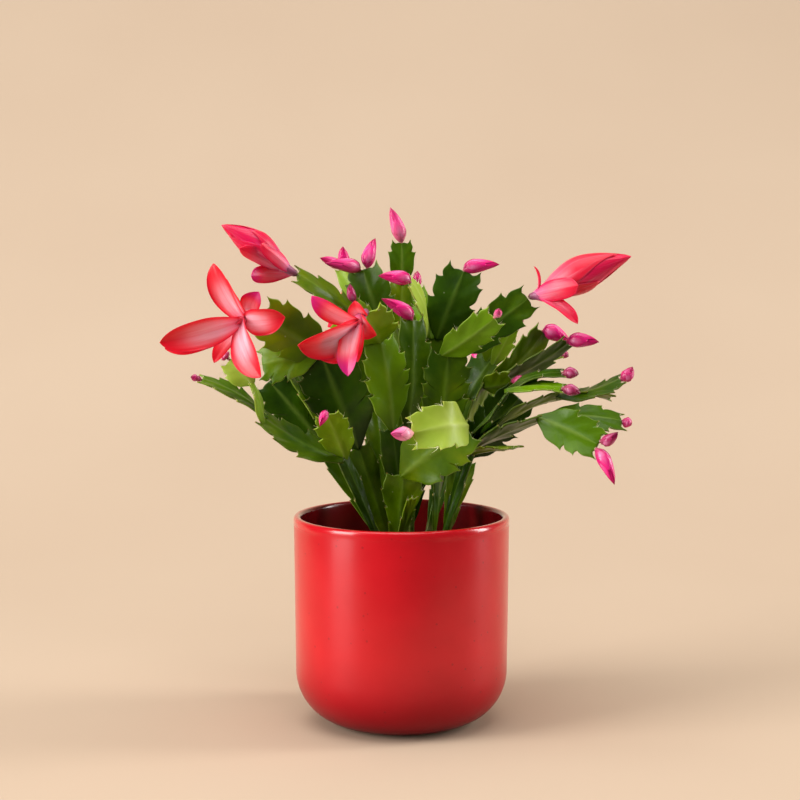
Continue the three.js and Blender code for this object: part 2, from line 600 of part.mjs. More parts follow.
// A bloom: a tube on a round neck, an arched spindle of tepals that are still closed where it has
// one, and the open tepals that spread from the tube
function bloomSolid(seat, { mouth, heart, tepals }) {
  const tube = bentLine(seat.point, seat.lean, mouth);
  const length = size(sub(mouth, seat.point));
  const neck = [[0.8 / length, BUD_NECK], [2.4 / length, 1.6 * BUD_NECK]];
  let bloom = spindleSolid(tube, [...neck, [0.55, 0.75 * TUBE_RADIUS], [0.9, TUBE_RADIUS]], 0);
  if (heart) {
    const { point } = tube(0.75);
    const chord = sub(heart.tip, point);
    const arched = add(mul(chord, 0.5), [0, 0, HEART_ARCH * size(chord)]);
    const line = bentLine(point, mul(arched, 1 / KNEE), heart.tip);
    bloom = bloom.add(spindleSolid(line, scaled(HEART_RINGS, heart.width / 2), BUD_LOBES));
  }
  for (const [share, tip, width, bow, turn] of tepals) {
    const { point, along } = tube(share - 0.12);
    bloom = bloom.add(tepalSolid(point, tip, along, width, bow, turn));
  }
  return bloom;
}

// Places for what grows from the tip of a blade: side by side along its cut-off end, in the
// order in which they lean
function seatsOn(frame, width, growing) {
  const lean = ({ tip }) => dot(sub(tip, frame.foot), frame.side);
  const inOrder = [...growing].sort((p, q) => lean(p) - lean(q));
  const spacing = Math.min(TIP_SPACING, (0.5 * width) / inOrder.length);
  const end = add(frame.foot, mul(frame.along, frame.length));
  return inOrder.map(({ name }, k) => [name, {
    point: add(end, mul(frame.side, spacing * (k - (inOrder.length - 1) / 2))),
    lean: frame.along,
  }]);
}

// What grows from the tip of one blade: its next blades, then its buds, then its blooms
function growingFrom(stem, key) {
  const onBlade = (table, tipOf) => Object.entries(table)
    .filter(([, { on }]) => on[0] === stem && on[1] === key)
    .map(([name, sizes]) => ({ name, tip: tipOf(sizes) }));
  return [
    ...STEMS[stem].blades.filter((blade) => blade[1] === key).map(([name, , tip]) => ({ name, tip })),
    ...onBlade(BUDS, ({ tip }) => tip),
    ...onBlade(BLOOMS, ({ mouth }) => mouth),
  ];
}

// The stems, blade by blade, and the seats that they leave for the buds and blooms
const seats = {};
let bladeCount = 0;
for (const [name, { root: [x, y], blades }] of Object.entries(STEMS)) {
  const stub = new THREE.CylinderGeometry(STUB_RADIUS, STUB_RADIUS, STUB_DEPTH + STUB_RISE, STUB_SIDES);
  stub.rotateX(Math.PI / 2).translate(x, y, SOIL_LEVEL + (STUB_RISE - STUB_DEPTH) / 2);
  let stem = solidOf(stub);
  let age = 0;
  const ends = {};
  for (const [key, from, tip, width, turn, bow, youth] of blades) {
    const frame = frameOf(from ? ends[key].point : [x, y, SOIL_LEVEL + STUB_RISE], tip, turn);
    for (const [grown, seat] of seatsOn(frame, width, growingFrom(name, key))) {
      ends[grown] = seat;
      seats[grown] = { lean: seat.lean, point: add(seat.point, mul(seat.lean, 1.7 * SEAT_GAP)) };
    }
    const blade = { width, bow, youth, lowest: from === null, index: bladeCount };
    stem = stem.add(bladeSolid(frame, blade));
    age += youth / blades.length;
    bladeCount += 1;
  }
  place(name, wholeOf(stem), new THREE.Color(OLD_GREEN).lerp(new THREE.Color(YOUNG_GREEN), age), 0.42);
}

for (const [name, { tip, width }] of Object.entries(BUDS)) {
  place(name, budSolid(seats[name], tip, width), '#d81e6a', 0.4);
}
for (const [name, bloom] of Object.entries(BLOOMS)) {
  place(name, wholeOf(bloomSolid(seats[name], bloom)), '#e8323c', 0.45);
}
place('potting_mix', soilSolid(), '#2b1d15', 1);
place('pot', potSolid(), '#b3161c', 0.45);

export default cactus;
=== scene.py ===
"""A potted holiday cactus in flower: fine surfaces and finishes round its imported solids.

Shapes are worked out in millimetres and become metres when a mesh is made.
"""

import bpy
import numpy as np
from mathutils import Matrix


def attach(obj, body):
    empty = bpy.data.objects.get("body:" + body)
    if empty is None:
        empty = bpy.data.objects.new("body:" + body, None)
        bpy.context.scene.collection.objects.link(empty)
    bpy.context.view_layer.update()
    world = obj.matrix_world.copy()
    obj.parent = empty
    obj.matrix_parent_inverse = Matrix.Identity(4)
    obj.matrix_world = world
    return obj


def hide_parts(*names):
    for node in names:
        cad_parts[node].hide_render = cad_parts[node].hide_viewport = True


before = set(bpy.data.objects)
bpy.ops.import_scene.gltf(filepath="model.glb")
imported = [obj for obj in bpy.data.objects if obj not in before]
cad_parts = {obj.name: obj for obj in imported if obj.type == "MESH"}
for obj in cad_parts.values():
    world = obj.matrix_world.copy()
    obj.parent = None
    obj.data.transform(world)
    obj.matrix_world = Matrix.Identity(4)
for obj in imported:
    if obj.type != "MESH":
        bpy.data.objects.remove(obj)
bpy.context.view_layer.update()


# The pot
# One turned stoneware cup with a flat foot, a large round lower corner and a round lip. It is
# dipped in red glaze, which fires satin on the wall and stays thick and glossy on the lip and
# inside, with a few pinholes.
MM = 0.001
POT_RIM_RADIUS = 65.0
POT_BODY_RADIUS = 64.0
POT_HEIGHT = 126.0
POT_WALL = 4.4
POT_FLOOR = 5.0
POT_CORNER_RADIUS = 32.0
POT_SIDES = 256
GLAZE_EDGE = 4.2
GLAZE_FADE = 0.9
GLAZE_THICK = 0.16
# Painted shade darkens the glaze below this height, more towards the foot.
PAINTED_SHADE_HEIGHT = 52.0
PAINTED_SHADE_FADE = 1.3


def arc(centre, radius, start, end, count):
    """Points centre + radius (cos t, sin t) for count angles t from start to end, in degrees."""
    angle = np.radians(np.linspace(start, end, count))
    return np.array(centre) + radius * np.stack([np.cos(angle), np.sin(angle)], 1)


def straight(start, end, count):
    """Points evenly between start and end, without the two ends."""
    share = np.linspace(0, 1, count + 2)[1:-1, None]
    return np.array(start) * (1 - share) + np.array(end) * share


def weave(index):
    """Two triangles for each cell of a grid of point numbers, without those of no area."""
    a, b, c, d = index[:-1, :-1], index[:-1, 1:], index[1:, 1:], index[1:, :-1]
    halves = [np.stack([a, b, c], -1).reshape(-1, 3), np.stack([a, c, d], -1).reshape(-1, 3)]
    both = np.concatenate(halves)
    flat = (both[:, 0] == both[:, 1]) | (both[:, 1] == both[:, 2]) | (both[:, 2] == both[:, 0])
    return both[~flat]


def closed_rings(rings, first, last):
    """A closed skin over rings [row, side] of points with a point at either end: neighbouring
    rings are joined all round, and the first and last rings run in to their end points."""
    rows, sides = rings.shape[:2]
    index = np.arange(rows * sides).reshape(rows, sides)
    wrapped = np.hstack([index, index[:, :1]])
    start, end = rows * sides, rows * sides + 1
    fans = [np.full((2, sides + 1), start), np.full((2, sides + 1), end)]
    fans[0][1], fans[1][0] = wrapped[0], wrapped[-1]
    triangles = np.concatenate([weave(fans[0]), weave(wrapped), weave(fans[1])])
    return np.vstack([rings.reshape(-1, 3), [first], [last]]), triangles


def facing_out(points, triangles):
    """The triangles turned so that the volume, the sum of corner . (corner x corner) / 6, is
    positive."""
    p, q, r = (points[triangles[:, k]] for k in range(3))
    volume = np.einsum("ij,ij->", p, np.cross(q, r))
    return triangles if volume > 0 else triangles[:, ::-1]


def placed(name, data):
    """An object of the scene, made of a mesh, a light or a camera."""
    thing = bpy.data.objects.new(name, data)
    bpy.context.scene.collection.objects.link(thing)
    return thing


def smooth_mesh(name, points, triangles, finish):
    """A smooth mesh object at the origin, from points in metres."""
    mesh = bpy.data.meshes.new(name)
    mesh.from_pydata(points.tolist(), [], triangles.tolist())
    mesh.polygons.foreach_set("use_smooth", np.ones(len(mesh.polygons), bool))
    mesh.materials.append(finish)
    return placed(name, mesh)


def new_piece(name, points, triangles, finish, fields):
    """A smooth mesh object from points in mm, which keeps a number for each point in each named
    field. It rides on the one body."""
    piece = smooth_mesh(name, points * MM, triangles, finish)
    for field, values in fields.items():
        kept = piece.data.attributes.new(field, "FLOAT", "POINT")
        kept.data.foreach_set("value", values.astype(np.float32))
    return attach(piece, "root")


def pot_outline():
    """The pot's section from the axis under the foot, out and up the wall, over the lip and down
    inside to the axis: straight lines and arcs, as (radius, height)."""
    flat = POT_BODY_RADIUS - POT_CORNER_RADIUS
    lip = POT_WALL / 2
    inner_rim = POT_RIM_RADIUS - POT_WALL
    inner_corner = POT_CORNER_RADIUS - POT_WALL
    wall_end, wall_start = (POT_RIM_RADIUS, POT_HEIGHT - lip), (POT_BODY_RADIUS, POT_CORNER_RADIUS)
    inside_end = (flat + inner_corner, POT_FLOOR + inner_corner)
    return np.vstack([
        [(0, 0)], straight((0, 0), (flat, 0), 6),
        arc((flat, POT_CORNER_RADIUS), POT_CORNER_RADIUS, -90, 0, 20),
        straight(wall_start, wall_end, 52),
        arc((POT_RIM_RADIUS - lip, POT_HEIGHT - lip), lip, 0, 180, 13),
        straight((inner_rim, POT_HEIGHT - lip), inside_end, 24),
        arc((flat, POT_FLOOR + inner_corner), inner_corner, 0, -90, 12),
        straight((flat, POT_FLOOR), (0, POT_FLOOR), 4), [(0, POT_FLOOR)],
    ])


def round_angles(sides):
    """The angles of a full turn, evenly spaced: 2 pi k / sides."""
    return 2 * np.pi * np.arange(sides) / sides


def turned(outline, sides, relief):
    """Carries an outline of (radius, height) from axis to axis round the z axis. Each point first
    moves out along the outline's normal by relief(radius, height, angle)."""
    step = np.gradient(outline, axis=0)
    normal = np.stack([step[:, 1], -step[:, 0]], 1) / np.linalg.norm(step, axis=1)[:, None]
    angle = round_angles(sides)[None]
    radius, height = outline[1:-1, :1], outline[1:-1, 1:]
    moved = relief(radius, height, angle)
    radius = radius + normal[1:-1, :1] * moved
    height = height + normal[1:-1, 1:] * moved
    rings = np.stack([radius * np.cos(angle), radius * np.sin(angle), height], -1)
    points, triangles = closed_rings(rings, (0, 0, outline[0, 1]), (0, 0, outline[-1, 1]))
    return points, facing_out(points, triangles)


def glaze_cover(height, angle):
    """How thick the glossy glaze lies, 0 to 1: a smooth step at a height below the lip that wanders
    with the angle as a sum of sines."""
    wander = 0.5 * np.sin(3 * angle + 1) + 0.3 * np.sin(8 * angle) + 0.22 * np.sin(19 * angle + 2)
    step = np.clip((height - (POT_HEIGHT - GLAZE_EDGE + wander)) / GLAZE_FADE + 0.5, 0, 1)
    return step * step * (3 - 2 * step)


def pot_relief(radius, height, angle):
    """The glaze's thickness on the lip, and long low waves of a turned wall: sines of the angle and
    the height of a few hundredths of a millimetre."""
    outside = radius > POT_BODY_RADIUS - 0.5
    waves = 0.05 * np.sin(2 * angle + height / 31) + 0.03 * np.sin(5 * angle - height / 17)
    return np.where(outside, waves + GLAZE_THICK * glaze_cover(height, angle), 0.0)


def linear(code):
    """The linear colour of a code such as "#b3161c": ((c + 0.055) / 1.055) ** 2.4 for each part c,
    or c / 12.92 where c is small."""
    part = np.array([int(code[k:k + 2], 16) for k in (1, 3, 5)]) / 255
    return (*np.where(part > 0.04045, ((part + 0.055) / 1.055) ** 2.4, part / 12.92).tolist(), 1.0)


def feed(node, inputs):
    """Gives a node's inputs, named or numbered, their numbers, colour codes or sockets."""
    for key, value in inputs.items():
        if isinstance(value, bpy.types.NodeSocket):
            node.id_data.links.new(value, node.inputs[key])
        else:
            node.inputs[key].default_value = linear(value) if isinstance(value, str) else value


class Net:
    """The nodes of a tree. Its functions add nodes and, apart from add, give their outputs."""

    def __init__(self, tree):
        """Starts with the tree's own nodes."""
        self.tree = tree

    def add(self, kind, inputs, **settings):
        """A node of a kind with its settings and inputs."""
        node = self.tree.nodes.new(kind)
        for key, value in settings.items():
            setattr(node, key, value)
        feed(node, inputs)
        return node

    def ramp(self, factor, *stops):
        """The colour of a ramp at factor. A stop is its place from 0 to 1 and its colour code."""
        node = self.add("ShaderNodeValToRGB", {"Fac": factor})
        stripes = node.color_ramp.elements
        stripes[0].position, stripes[1].position = stops[0][0], stops[-1][0]
        stripes[0].color, stripes[1].color = linear(stops[0][1]), linear(stops[-1][1])
        for place, code in stops[1:-1]:
            stripes.new(place).color = linear(code)
        return node.outputs["Color"]

    def blend(self, factor, first, second):
        """A mix of two colours: the first at factor 0, the second at 1."""
        inputs = {0: factor, 6: first, 7: second}
        return self.add("ShaderNodeMix", inputs, data_type="RGBA").outputs[2]

    def maths(self, how, first, second, third=0.0):
        """A Math node's value."""
        inputs = {0: first, 1: second, 2: third}
        return self.add("ShaderNodeMath", inputs, operation=how).outputs[0]

    def times(self, first, second, plus=0.0):
        """first * second + plus"""
        return self.maths("MULTIPLY_ADD", first, second, plus)

    def fields(self, *names):
        """The numbers that a mesh keeps for each point under these names."""
        return [self.add("ShaderNodeAttribute", {}, attribute_name=name).outputs["Fac"]
                for name in names]

    def place(self):
        """Object coordinates."""
        return self.add("ShaderNodeTexCoord", {}).outputs["Object"]

    def cloud(self, scale, detail, at=None):
        """Noise from 0 to 1 of a scale in 1/m."""
        inputs = {"Vector": at or self.place(), "Scale": scale, "Detail": detail}
        return self.add("ShaderNodeTexNoise", inputs).outputs["Fac"]

    def step(self, value, low, high, start=0.0, end=1.0):
        """The value carried smoothly, by t^2 (3 - 2t), from low..high to start..end."""
        inputs = {0: value, 1: low, 2: high, 3: start, 4: end}
        return self.add("ShaderNodeMapRange", inputs, interpolation_type="SMOOTHSTEP").outputs[0]

    def bump(self, height, distance):
        """The normal over a height, whose distance is in mm."""
        inputs = {"Height": height, "Distance": distance * MM}
        return self.add("ShaderNodeBump", inputs).outputs["Normal"]

    def group(self, tree, inputs):
        """What a node group puts out."""
        return self.add("ShaderNodeGroup", inputs, node_tree=tree).outputs[0]


def new_group(name, takes, gives):
    """A node group, its nodes and its inputs. It takes numbers, and a vector under that name, and
    gives one number."""
    group = bpy.data.node_groups.new(name, "ShaderNodeTree")
    for socket in takes:
        kind = "NodeSocketVector" if socket == "Vector" else "NodeSocketFloat"
        group.interface.new_socket(socket, in_out="INPUT", socket_type=kind)
    group.interface.new_socket(gives, in_out="OUTPUT", socket_type="NodeSocketFloat")
    net = Net(group)
    return group, net, net.add("NodeGroupInput", {}).outputs


def specks_group():
    """Specks: a voronoi cell's centre is a speck where its distance is under Size and its own
    random number is over Rarity. Puts out the mask of the specks."""
    group, net, given = new_group("specks", ["Vector", "Scale", "Size", "Rarity"], "Mask")
    at = {"Vector": given["Vector"], "Scale": given["Scale"]}
    cells = net.add("ShaderNodeTexVoronoi", at).outputs
    near = net.maths("LESS_THAN", cells["Distance"], given["Size"])
    picked = net.maths("GREATER_THAN", cells["Color"], given["Rarity"])
    net.add("NodeGroupOutput", {"Mask": net.times(near, picked)})
    return group


SPECKS = specks_group()


def new_finish(name):
    """A node material, its nodes and its Principled shader."""
    finish = bpy.data.materials.new(name)
    finish.use_nodes = True
    return finish, Net(finish.node_tree), finish.node_tree.nodes["Principled BSDF"]


def red_glaze():
    """Red glaze: fine mottling and pinholes on a satin wall, darkened round the lower corner by
    painted shade and with less sheen there; glossy on the lip, where it is thick (0.5), and glossy
    inside (1), where painted shade makes it darker."""
    finish, net, shader = new_finish("red_glaze")
    thick, low = net.fields("thick_glaze_and_inner_shade", "low")
    on_lip = net.step(thick, 0.0, 0.5)
    mottled = net.ramp(net.cloud(38, 5), (0.25, "#b70915"), (0.5, "#bc0b18"), (0.75, "#c20d1a"))
    holes = net.group(SPECKS, {"Vector": net.place(), "Scale": 230, "Size": 0.16, "Rarity": 0.72})
    wall = net.blend(net.times(holes, 0.55), mottled, "#7d0d12")
    # Painted shade: the wall darkens towards the lower corner with the low field.
    wall = net.blend(net.times(low, 0.9), wall, "#5a0010")
    satin = net.times(net.cloud(90, 4), 0.08, 0.29)
    peel = net.times(net.cloud(1100, 2), 0.5, net.cloud(210, 3))
    lip = net.blend(on_lip, wall, "#c20617")
    dry = net.step(low, 0.0, 0.7, 1.0, 0.1)
    # Painted shade: inside the pot the base colour turns a darker red.
    feed(shader, {
        "Base Color": net.blend(net.step(thick, 0.5, 1.0), lip, "#6f060c"),
        "Roughness": net.add("ShaderNodeMix", {0: on_lip, 2: satin, 3: 0.09}).outputs[0],
        "Coat Weight": net.times(dry, net.step(thick, 0.0, 0.5, 0.72, 1.0)),
        "Coat Roughness": 0.2,
        "Specular IOR Level": 0.1,
        "Normal": net.bump(net.times(holes, -0.8, peel), 0.05),
    })
    return finish


points, triangles = turned(pot_outline(), POT_SIDES, pot_relief)
around = np.arctan2(points[:, 1], points[:, 0])
out = np.hypot(points[:, 0], points[:, 1]) - (POT_BODY_RADIUS - POT_CORNER_RADIUS)
down = np.minimum(points[:, 2] - POT_CORNER_RADIUS, 0)
inside = np.hypot(np.maximum(out, 0), down) < POT_CORNER_RADIUS - POT_WALL / 2
# Up to 0.5 on the lip, where the glaze is thick, and 1 inside, where it also carries painted shade.
thick_glaze_and_inner_shade = np.where(inside, 1.0, 0.5 * glaze_cover(points[:, 2], around))
# Painted shade: this field grows from 0 high on the wall to 1 at the foot; it darkens the glaze there
# and takes away most of its coat.
low = np.clip(1 - points[:, 2] / PAINTED_SHADE_HEIGHT, 0, 1) ** PAINTED_SHADE_FADE
fields = {"thick_glaze_and_inner_shade": thick_glaze_and_inner_shade, "low": low}
pot = new_piece("pot_glazed", points, triangles, red_glaze(), fields)
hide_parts("pot")


# The potting mix
# Dark peat with bits of bark and a few white grains of perlite, filled to some way below the lip
# and pressed round the foot of each stem. The coarse grains lie loose on top.
SOIL_LEVEL = 102.0
SOIL_FLARE = 0.7
SOIL_RELIEF = 0.7
SEAT_GAP = 0.3
SOIL_SIDES = 160
GRAINS = 1100
GRAIN_SEED = 7
GRAIN_REACH = 58.5
GRAIN_RISE = 0.15
LUMP_CORNERS = 12
LUMP_RADIUS = 1.9
LUMP_NEAR = 2.2
WHITE_FROM = 0.94
WHITE_SIZE = 0.8


def soil_height(x, y):
    """The height of the mix over the level: broad waves sin x cos y and sin (x + y), with finer
    waves of half a millimetre for its crumbs."""
    broad = SOIL_RELIEF * (np.sin(0.41 * x + 1) * np.cos(0.37 * y) + np.sin(0.23 * (x + y)))
    fine = np.sin(1.3 * x + 2 * np.sin(0.9 * y)) * np.sin(1.1 * y + 1.7 * np.sin(0.8 * x))
    return broad + 0.45 * fine


def soil_outline():
    """The mix's section: the pot's inside less the seat gap, then the top in to the axis."""
    corner = POT_CORNER_RADIUS - POT_WALL - SEAT_GAP
    flat, bottom = POT_BODY_RADIUS - POT_CORNER_RADIUS, POT_FLOOR + SEAT_GAP
    edge = (flat + corner + SOIL_FLARE, SOIL_LEVEL - 1)
    return np.vstack([
        [(0, bottom)], arc((flat, bottom + corner), corner, -90, 0, 8), [edge],
        straight(edge, (0, SOIL_LEVEL), 40) * (1, 0) + (0, SOIL_LEVEL), [(0, SOIL_LEVEL)],
    ])


def potting_mix():
    """Peat: dark browns by noise, paler on bark and white on perlite, rough, with a crumbly bump."""
    finish, net, shader = new_finish("potting_mix")
    peat = net.ramp(net.cloud(260, 6), (0.3, "#120b07"), (0.55, "#2a1b12"), (0.75, "#4a3322"))
    bark = net.ramp(net.cloud(500, 4), (0.3, "#4b2d1a"), (0.7, "#80583a"))
    [kind] = net.fields("grain")
    bits = net.blend(net.step(kind, 0.5, 0.6), peat, bark)
    white = net.step(kind, WHITE_FROM - 0.01, WHITE_FROM + 0.01)
    feed(shader, {
        "Base Color": net.blend(white, bits, "#d9d4c8"),
        "Roughness": 0.93,
        "Normal": net.bump(net.cloud(900, 6), 0.5),
    })
    return finish


def turned_by(p, q, angle):
    """The numbers p and q of each row of points, turned by that row's angle."""
    cos, sin = np.cos(angle[:, None]), np.sin(angle[:, None])
    return p * cos - q * sin, p * sin + q * cos


def grains(random):
    """Loose grains on the mix: a lump of twelve corners, those of three golden rectangles square to
    one another, whose faces join three that are near. Each is stretched by random sizes, turned by
    random angles and set at a random place of a disc, half in the mix."""
    golden = (1 + 5 ** 0.5) / 2
    card = np.array([(s, t * golden, 0) for s in (-1, 1) for t in (-1, 1)], float)
    corners = np.vstack([card, np.roll(card, 1, axis=1), np.roll(card, 2, axis=1)]) / LUMP_RADIUS
    near = np.linalg.norm(corners[:, None] - corners[None], axis=2) < LUMP_NEAR / LUMP_RADIUS
    i, j, k = np.indices((LUMP_CORNERS,) * 3).reshape(3, -1)
    joined_up = (i < j) & (j < k) & near[i, j] & near[j, k] & near[i, k]
    faces = np.stack([i, j, k], 1)[joined_up]
    p, q, r = (corners[faces[:, k]] for k in range(3))
    outward = np.einsum("ij,ij->i", p, np.cross(q, r)) > 0
    faces = np.where(outward[:, None], faces, faces[:, ::-1])
    kind = random.random(GRAINS)
    size = random.uniform(0.5, 1.7, (GRAINS, 1)) * random.uniform(0.5, 1.3, (GRAINS, 3))
    size[kind > WHITE_FROM] *= WHITE_SIZE
    turn, tilt = random.uniform(0, 2 * np.pi, (2, GRAINS))
    reach = GRAIN_REACH * np.sqrt(random.random(GRAINS))
    way = random.uniform(0, 2 * np.pi, GRAINS)
    x, y = reach * np.cos(way), reach * np.sin(way)
    shaped = corners[None] * size[:, None] * random.uniform(0.8, 1.2, (GRAINS, LUMP_CORNERS, 1))
    p, q, r = np.moveaxis(shaped, -1, 0)
    q, r = turned_by(q, r, tilt)
    p, q = turned_by(p, q, turn)
    height = SOIL_LEVEL + soil_height(x, y) + GRAIN_RISE * size[:, 2]
    points = np.stack([p, q, r], -1) + np.stack([x, y, height], -1)[:, None]
    triangles = (faces[None] + LUMP_CORNERS * np.arange(GRAINS)[:, None, None]).reshape(-1, 3)
    return points.reshape(-1, 3), triangles, np.repeat(kind, LUMP_CORNERS)


points, triangles = turned(soil_outline(), SOIL_SIDES, lambda radius, height, angle: 0 * angle)
on_top = points[:, 2] > SOIL_LEVEL - 0.5
points[on_top, 2] += soil_height(points[on_top, 0], points[on_top, 1])
mix_finish = potting_mix()
fields = {"grain": np.zeros(len(points))}
mix = new_piece("potting_mix_fill", points, triangles, mix_finish, fields)
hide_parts("potting_mix")
points, triangles, kind = grains(np.random.default_rng(GRAIN_SEED))
loose = new_piece("potting_mix_grains", points, triangles, mix_finish, {"grain": kind})


# The stems
# Each grows as a chain of flat blades that root from one foot in the mix: a blade starts narrow in
# the cut-off end of the one below, swells, and has teeth that point forward, a raised midrib and
# two horns at its end. The oldest, near the mix, have gone woody.
STUB_RADIUS = 2.6
STUB_DEPTH = 20.0
STUB_RISE = 4.0
STALK_HALF_WIDTH = 1.7
RIB_HALF = 1.35
RIB_AT_HORN = 0.72
RIB_WIDTH = 20.0
RIDGE = 1.9
MARGIN_HALF = 0.55
TOOTH_DEPTH = 4.7
TOOTH_TIP = np.array([0.7, 0.4])
TOOTH_BACK = np.array([0.78, -0.6])
WIDE_BLADE = 24.0
MORE_TEETH = [(30, 15), (46, WIDE_BLADE)]
NOTCH_FROM = 0.2
HORN_OUT = 0.84
FULL_AT = 0.55
YOUNG_FULLER = 0.45
YOUNG_SOFTER = 0.4
LOWEST_SOFTER = 0.65
LOWEST_FULL_AT = 0.85
TEETH_FROM = 0.3
TEETH_SPAN = 0.56
FOOT_SHARE = 0.16
END_TAPER = 0.12
TWIST = 18.0
CUP_LEAST = -0.02
CUP_SPREAD = 0.1
WAVE = 0.045
PILLOW = 0.22
YOUNG_FLATTER = 0.7
WOOD_TOP = 6.0
WOOD_FADE = 26.0
CLAW_REACH = 1.1
BRISTLES_EACH = 3
BRISTLE_RADIUS = 0.085
BRISTLE_GROWTH = 1.6
USES = {"twist": 11, "cup": 12, "wave": 14, "tone": 21, "bristles": 25, "teeth": 30}
LEVEL_FROM = 0.3
BLADE_STEEP = 0.97
BLADE_SINK = 1.8
SEAT_LIFT = 1.7 * SEAT_GAP
TIP_SPACING = 5.2
KNEE = 4.0

